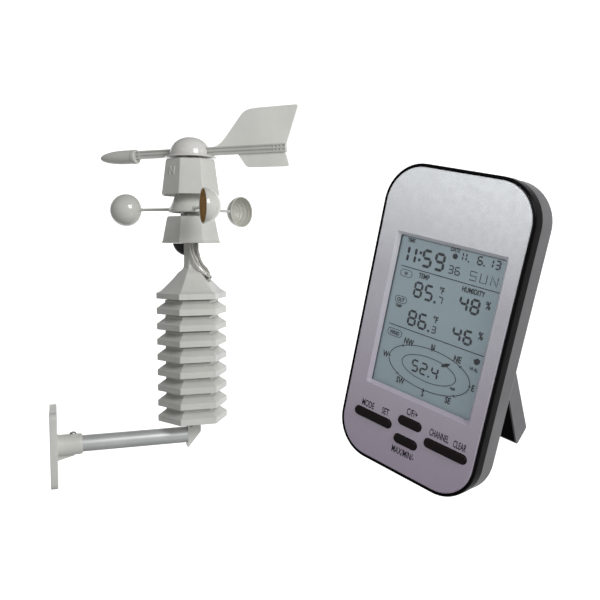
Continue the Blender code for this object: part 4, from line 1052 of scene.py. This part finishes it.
def build_display():
    """Everything the display shows, as thin shapes between its cover and its panel."""
    y = 3.64

    def put(name, shapes):
        piece(name, joined(*shapes), SEGMENT, "console", CONSOLE, sharp=30)
    big = digits("11:59", -28.9, 27.6, 6.5, 9.9, 1.5, y, 1.55)
    big += digits("36", 0.2, 28.1, 3.2, 4.5, 0.6, y, 0.8)
    big += digits("11.", 6.2, 36.2, 2.6, 4.8, 0.8, y, 0.8)
    big += digits("6.", 15.6, 36.2, 3.4, 4.8, 0.8, y, 0.6) + digits("13", 23.4, 36.2, 3.2, 4.8, 0.8, y, 0.9)
    put("display_time", big)
    warm = digits("85.", -18.1, 10.5, 5.7, 8.9, 1.25, y) + digits("7", -2.0, 11.0, 3.0, 4.0, 0.55, y)
    warm += digits("86.", -18.1, -5.5, 5.7, 8.9, 1.25, y) + digits("3", -2.0, -5.3, 3.0, 4.0, 0.55, y)
    damp = digits("48", 10.8, 10.9, 5.5, 8.3, 1.25, y) + digits("46", 10.8, -5.4, 5.5, 8.0, 1.25, y)
    put("display_climate", warm + damp)
    put("display_speed", digits("52.4", -9.2, -29.2, 4.6, 6.9, 0.95, y, 1.05))
    day = [stroke(line, 0.42, y) for line in weekday_lines()]
    put("display_day", day)
    rules = [stroke([(-29.3, z), (31.9, z)], 0.45, y) for z in (25.4, -7.9)]
    middle_x, middle_z, half_wide, half_tall = 1.4, -25.4, 26.2, 11.4
    rings = [oval(middle_x, middle_z, half_wide, half_tall, 0.4, y), oval(1.6, -25.3, 17.4, 6.7, 0.36, y)]
    for i in range(8):
        angle = math.radians(45 * i)
        tick = []
        for d in (-0.9, 0.9):
            x = middle_x + (half_wide + d) * math.cos(angle)
            tick.append((x, middle_z + (half_tall + d) * math.sin(angle)))
        rings.append(stroke(tick, 0.4, y))
    badges = []
    for x, z, half_x, half_z in ((-25.0, 21.8, 3.9, 1.9), (-24.9, 6.9, 3.9, 1.9), (-24.4, -12.1, 4.9, 2.0)):
        line = [(x + p.x, z + p.z) for p in pill(half_x, half_z, 0)]
        badges.append(stroke(line, 0.28, y, closed=True))
    put("display_lines", rules + rings + badges)
    pointer = [(8.6, -20.9), (9.4, -19.4), (11.6, -18.2), (14.4, -17.6), (12.6, -19.8), (10.2, -20.8)]
    put("display_pointer", [plate(fillet(pointer, 0.5), y, y + INK_DEPTH, standing)])
    compass = [("N", 1.6, -12.4), ("NE", 17.3, -13.9), ("E", 29.6, -25.5), ("SE", 17.2, -36.8)]
    compass += [("S", 1.5, -38.7), ("SW", -14.2, -36.8), ("W", -27.3, -25.4), ("NW", -14.0, -14.2)]
    words = [letters(t, x, z, 3.5, 0.72, y, INK_DEPTH, bold=0.03) for t, x, z in compass]
    put("display_compass", words)
    small = [("IN", -25.0, 21.8, 1.5), ("OUT", -24.9, 6.9, 1.9), ("WIND", -24.4, -12.1, 1.9)]
    small += [("TEMP", -13.3, 22.9, 2.4), ("HUMIDITY", 17.4, 22.6, 2.4), ("TEMP", -25.6, 3.3, 1.5)]
    small += [("°F", -0.7, 18.3, 3.0), ("°F", -0.6, 2.3, 3.0), ("%", 27.4, 17.8, 3.5)]
    small += [("%", 27.2, 1.8, 3.5), ("DATE", 2.0, 41.0, 1.9), ("mph", 18.4, -29.7, 1.5)]
    small += [("TIME", -26.0, 40.2, 1.9), ("HI AL", 27.7, -16.0, 1.6)]
    words = [letters(t, x, z, 1.15 * h, 0.75, y, INK_DEPTH, bold=0.03) for t, x, z, h in small]
    put("display_labels", words)
    dot = plate([(2.6 + p.x, 37.6 + p.y) for p in circle(1.5, 0, 24)], y, y + INK_DEPTH, standing)
    fan = [(26.2, -11.2), (27.0, -12.9), (28.4, -13.6), (29.9, -12.4), (30.2, -10.6), (28.6, -9.9)]
    put("display_marks", [dot, plate(fan, y, y + INK_DEPTH, standing)])


def weekday_lines():
    """The day's three letters in thin open strokes: S, U, N."""
    low, high, middle, w = 27.9, 32.4, 30.1, 3.6
    s = [(13.6 + w, high), (13.6, high), (13.6, middle), (13.6 + w, middle), (13.6 + w, low), (13.6, low)]
    u = [(19.6, high), (19.6, low), (19.6 + w, low), (19.6 + w, high)]
    n = [(25.8, low), (25.8, high), (25.8 + w, low), (25.8 + w, high)]
    return s, u, n


def build_console():
    """The silver face, the gloss rim, the display, the four keys and their labels, then the rear."""
    lip = 1.9
    edge = fillet([(lip + 0.7, 0), (lip, 0.45), (lip, 2.4)], 0.4, 2, False)
    face = loft([face_ring(inset, y) for inset, y in edge])
    tools = [loft([window_ring(g, y) for g, y in ((0.1, -0.2), (0.0, 0.05), (-1.8, 2.2), (-1.8, 3.5))])]
    for x, z, half in KEYS.values():
        opening = loft([pill(half + KEY_GAP, KEY_HALF_HEIGHT + KEY_GAP, y) for y in (-1, 4)])
        tools.append(placed(opening, Matrix.Translation((x, 0, z))))
    shape = combined(face, tools)
    piece("face_plate", shape, SILVER, "console", CONSOLE, ("front_shell",), 0.12)
    back = RIM_DEPTH
    rim = [(1.3, 0.15), (0.75, 0.0), (0.1, 0.9), (0.0, 2.2), (0.0, back - 0.2), (0.4, back), (3.2, back)]
    rim += [(3.2, 2.7), (1.35, 2.7)]
    piece("rim_ring", band(rim), GLOSS, "console", CONSOLE, ("rim_band",))
    build_rear()
    cover = loft([window_ring(1.9, y, 1.2) for y in (2.7, 3.5)])
    piece("display_cover", cover, COVER, "console", CONSOLE, ("lcd_window",), 0.1)
    panel = loft([window_ring(1.9, y, 1.2) for y in (3.8, 6.2)])
    piece("display_panel", panel, DISPLAY, "console", CONSOLE, ("lcd_panel",), 0.1)
    build_display()
    for name, (x, z, half) in KEYS.items():
        profile = fillet([(-0.9, -1.0), (0, -1.0), (0, 3.45)], 0.9, 5, False) + [(0.9, 3.5), (0.9, 4.2)]
        cap = loft([pill(half + grow, KEY_HALF_HEIGHT + grow, y) for grow, y in profile])
        place = CONSOLE @ shift(x, 0, z)
        piece(f"key_{name}", cap, KEY, name, place, (f"{name}_key",), sharp=45)
    wide = [("MODE", -29.6, -56.1), ("SET", -17.0, -55.9), ("C/F/+", 0.2, -50.2), ("MAX/MIN/-", -0.4, -73.8)]
    narrow = [("CHANNEL", 19.0, -55.5), ("CLEAR", 31.8, -55.9)]
    words = []
    for labels, squeeze in ((wide, 0.58), (narrow, 0.48)):
        words += [letters(t, x, z, 3.9, squeeze, -0.03, 0.05, bold=0.022) for t, x, z in labels]
    piece("key_labels", joined(*words), INK, "console", CONSOLE, sharp=30)


def build_rear():
    """Grey back with its two bays, moulded slots, recessed screws and two rubber feet."""
    front = RIM_DEPTH + 0.3
    profile = [(0.5, front), (0.4, front + 0.6), (0.4, BODY_DEPTH - 3.2), (1.1, BODY_DEPTH - 1.2)]
    profile.append((3.0, BODY_DEPTH))
    shell = loft([face_ring(i, y) for i, y in fillet(profile, 1.2, 4, False)])
    shell = combined(shell, [loft([face_ring(2.8, y) for y in (6.0, BODY_DEPTH - 2.2)])])
    wall = 1.2
    pocket = BODY_DEPTH - STAND_THICK - 0.8
    stand_x, low, high = STAND_HALF + 0.6, STAND_Z - STAND_LENGTH - 0.8, STAND_Z + 5.2
    corner = (stand_x + wall, BODY_DEPTH - 1, high + wall)
    blocks = [box((-stand_x - wall, pocket - wall, low - wall), corner)]
    corner = (BAY_HALF + wall, BODY_DEPTH - 1, BAY_HIGH + wall)
    blocks.append(box((-BAY_HALF - wall, 8.2, BAY_LOW - wall), corner))
    shell = combined(shell, blocks, "UNION")
    cuts = [box((-stand_x, pocket, low), (stand_x, BEHIND_BODY, high))]
    cuts.append(box((-BAY_HALF, 9.4, BAY_LOW), (BAY_HALF, BEHIND_BODY, BAY_HIGH)))
    cuts.append(box((-25.6, 20.5, 11.4), (25.6, BEHIND_BODY, 50.6)))
    cuts.append(rod(1.5, (-stand_x - 0.9, STAND_Y, STAND_Z), (stand_x + 0.9, STAND_Y, STAND_Z), 24))
    for k in range(6):
        slot = loft([pill(11.0, 0.8, y) for y in (15.0, BEHIND_BODY)])
        cuts.append(placed(slot, Matrix.Translation((FACE_SHIFT, 0, 57.0 + 2.9 * k))))
    screws = (-36.0, 32.0)
    for x in screws:
        sunk = (x, BODY_DEPTH - REAR_SCREW_DEPTH, REAR_SCREW_Z)
        cuts.append(rod(2.6, sunk, (x, BEHIND_BODY, REAR_SCREW_Z), 28))
    piece("rear_case", combined(shell, cuts), GREY, "console", CONSOLE, ("rear_shell",), 0.2)
    for number, x in enumerate(screws, 1):
        place = CONSOLE @ shift(x, BODY_DEPTH - REAR_SCREW_DEPTH, REAR_SCREW_Z) @ spin(-90, "X")
        piece(f"rear_screw_{number}", screw_head(2.3, -0.5, 0.8), STEEL, "console", place)
        pad = plate(fillet([(-6, -2.6), (6, -2.6), (6, 2.6), (-6, 2.6)], 2.2, 5), -0.1, 0.55, round_by=0.2)
        place = CONSOLE @ shift(x * 0.6, 13.0, FACE_BOTTOM + 0.15)
        piece(f"foot_pad_{number}", pad, RUBBER, "console", place)
    ends = (-STAND_HALF - 1.2, STAND_Y, STAND_Z), (STAND_HALF + 1.2, STAND_Y, STAND_Z)
    pin = rod(0, *ends, 28, [(0, 0.9), (0.01, 1.2), (0.99, 1.2), (1, 0.9)])
    piece("hinge_pin", pin, STEEL, "console", CONSOLE, ("stand_pin",))
    build_stand()
    build_door()


def build_stand():
    """The kickstand: a tray open to the rear, with ribs in its hollow, and a near-black sheet of painted
    shade on its face towards the body and along its foot.
    """
    outer = BODY_DEPTH - STAND_Y
    inner = outer - STAND_THICK
    side = [(inner, 1 - STAND_LENGTH), (inner + 1, -STAND_LENGTH), (outer, -STAND_BACK), (outer, 0)]
    side += [(outer - 0.4, 2.4), (0.6, 4.2), (inner + 3, 2.0)]
    shape = across(fillet(side, 1.6, 5), -STAND_HALF, STAND_HALF)
    end = 2.0 - STAND_BACK
    floor = outer + 1
    hollow = [(inner + 1.8, end), (floor, end), (floor, -5.0), (inner + 4.8, -5.0)]
    cuts = [across(hollow, 1.8 - STAND_HALF, STAND_HALF - 1.8)]
    cuts.append(rod(1.5, (-STAND_HALF - 1, 0, 0), (STAND_HALF + 1, 0, 0), 24))
    shape = combined(shape, cuts)
    foot, top = end - 0.1, -4.9
    rib = [(inner + 1.7, foot), (outer - 2, foot), (outer - 2, top), (inner + 4.7, top)]
    ribs = [across(rib, x - 0.7, x + 0.7) for x in (-17.5, 0.0, 17.5)]
    for z in (-24.0, -48.0):
        ribs.append(box((1.7 - STAND_HALF, inner + 2.2, z - 0.6), (STAND_HALF - 1.7, outer - 2.6, z + 0.6)))
    place = CONSOLE @ shift(0, STAND_Y, STAND_Z) @ spin(STAND_OPEN, "X")
    piece("stand_tray", joined(shape, *ribs), STAND_GREY, "stand", place, ("kickstand",), 0.35)
    # A near-black sheet of painted shade on the face towards the body, and another along the foot.
    low = 2.4 - STAND_LENGTH
    skin = [(inner - 0.12, low), (inner + 0.3, low), (inner + 3.1, 0.5), (inner + 2.7, 0.5)]
    sole = [(inner + 1.2, -STAND_LENGTH - 0.1), (outer - 1.6, -STAND_BACK - 0.75)]
    sole += [(outer - 1.6, 0.6 - STAND_BACK), (inner + 1.2, 0.6 - STAND_LENGTH)]
    skin = across(skin, 1.0 - STAND_HALF, STAND_HALF - 1.0)
    sole = across(sole, 2.4 - STAND_HALF, STAND_HALF - 2.4)
    piece("stand_painted_shade_sheet", joined(skin, sole), STAND_PAINTED_SHADE, "stand", place, bevel=0.1)


def build_door():
    """The sliding battery door, with ribs for a thumb."""
    shapes = [box((-25.3, 20.8, 11.7), (25.3, BODY_DEPTH - 0.25, 38.3))]
    for k in range(7):
        rib = loft([pill(8.0 - 0.5 * abs(k - 3), 0.42, y) for y in (BODY_DEPTH - 0.6, BODY_DEPTH)])
        shapes.append(placed(rib, Matrix.Translation((0, 0, 27.6 + 1.5 * k))))
    piece("bay_door", joined(*shapes), GREY, "door", CONSOLE, ("battery_door",), 0.16)


build_wall_arm()
build_elbow()
build_shield()
build_housings()
build_rotor()
build_dome()
build_boom()
build_nose()
build_leads()
build_console()


# ---------------------------------------------------------------- light, floor, camera
BACK_GLOW, SIDE_GLOW, RIGHT_GLOW, SKY = 1.05, 0.07, 0.5, 0.20
BEHIND, RIGHT = 71, -30  # directions from the middle of the stage, in degrees
KEY_POWER, FILL_POWER, CONSOLE_POWER = 32, 2.0, 0.115


def add_light(name, place, target, power, size, colour=(1, 1, 1), spread=180):
    data = bpy.data.lights.new(name, "AREA")
    data.energy = power
    data.shape = "RECTANGLE"
    data.size, data.size_y = size
    data.color = colour
    data.spread = math.radians(spread)
    light = add_object(name, data)
    light.location = place
    light.rotation_euler = (Vector(target) - Vector(place)).to_track_quat("-Z", "Y").to_euler()


def build_stage():
    """A white studio bowl that glows softly, brightest behind the object, three soft boxes and the camera."""
    f = Finish("stage_white", 0.0, 0.9)
    f.colour(f.mix(f.clouds(0.8, 2, 0.3, 0.7), [0.34, 0.34, 0.34], [0.38, 0.38, 0.38]))
    f.rough(f.clouds(3, 3, 0.3, 0.7, 0.85, 0.95))
    plan = f.stretched((1, 1, 0))

    def vector_math(operation, *sources):
        node = f.tree.nodes.new("ShaderNodeVectorMath")
        node.operation = operation
        for source, socket in zip(sources, node.inputs):
            if isinstance(source, tuple):
                socket.default_value = source
            else:
                f.link(source, socket)
        return node.outputs["Value" if operation in ("LENGTH", "DOT_PRODUCT") else "Vector"]

    def math_node(operation, first, second):
        node = f.tree.nodes.new("ShaderNodeMath")
        node.operation = operation
        f.link(first, node.inputs[0])
        f.link(second, node.inputs[1])
        return node.outputs["Value"]

    def facing(azimuth):
        angle = math.radians(azimuth)
        way = vector_math("NORMALIZE", plan)
        return vector_math("DOT_PRODUCT", way, (math.cos(angle), math.sin(angle), 0.0))

    behind = f.ranged(facing(BEHIND), 0.50, 0.76, 0.0, BACK_GLOW)
    right = f.ranged(facing(RIGHT), -0.2, 1.0, SIDE_GLOW, RIGHT_GLOW)
    beyond = f.ranged(vector_math("LENGTH", plan), 0.7, 1.2)
    glow = math_node("MULTIPLY", math_node("MAXIMUM", behind, right), beyond)
    f.shader.inputs["Emission Color"].default_value = (1, 1, 1, 1)
    f.link(glow, f.shader.inputs["Emission Strength"])
    line = [(0.001, -0.9), (1.0, -0.9), (2.2, -0.9), (3.2, -0.85), (4.0, -0.5), (4.4, 0.3), (4.5, 2.4)]
    bm = loft([circle(radius, height, 96) for radius, height in smooth_line(line, 6)], caps=False)
    mesh = bpy.data.meshes.new("studio_floor")
    placed(bm, Matrix.Translation((0.15, -0.2, 0))).to_mesh(mesh)
    bm.free()
    mesh.shade_smooth()
    mesh.materials.append(f.material)
    floor = add_object("studio_floor", mesh)

    world = bpy.data.worlds.new("studio")
    world.use_nodes = True
    world.node_tree.nodes["Background"].inputs["Color"].default_value = (1, 1, 1, 1)
    world.node_tree.nodes["Background"].inputs["Strength"].default_value = SKY
    bpy.context.scene.world = world
    add_light("key_box", (0.95, -2.0, 1.25), (0.15, -0.2, 0.15), KEY_POWER, (1.0, 1.0))
    add_light("front_box", (-1.6, -1.2, 1.5), (0.15, -0.4, 0.15), FILL_POWER, (0.9, 0.9))
    place, aim = (-0.22, -0.66, 0.42), (0.199, -0.441, 0.235)
    add_light("console_box", place, aim, CONSOLE_POWER, (0.14, 0.14), spread=50)

    camera = add_object("camera", bpy.data.cameras.new("camera"))
    camera.data.lens = 42
    camera.data.sensor_width = 36
    camera.data.clip_start = 0.01
    camera.location = (0.0131, -0.7669, 0.2083)
    camera.rotation_euler = (math.radians(90 - 4.33), 0, math.radians(-19))
    bpy.context.scene.camera = camera
    bpy.context.scene.view_settings.view_transform = "Standard"


def dress_cad_nodes():
    """Every CAD node that still shows takes its finish."""
    for part in frame["record"]["subparts"]:
        node = frame["nodes"][part["node"]]
        node.data.materials.clear()
        node.data.materials.append(SLOTS[part["material_slot"]][0])


dress_cad_nodes()
build_stage()
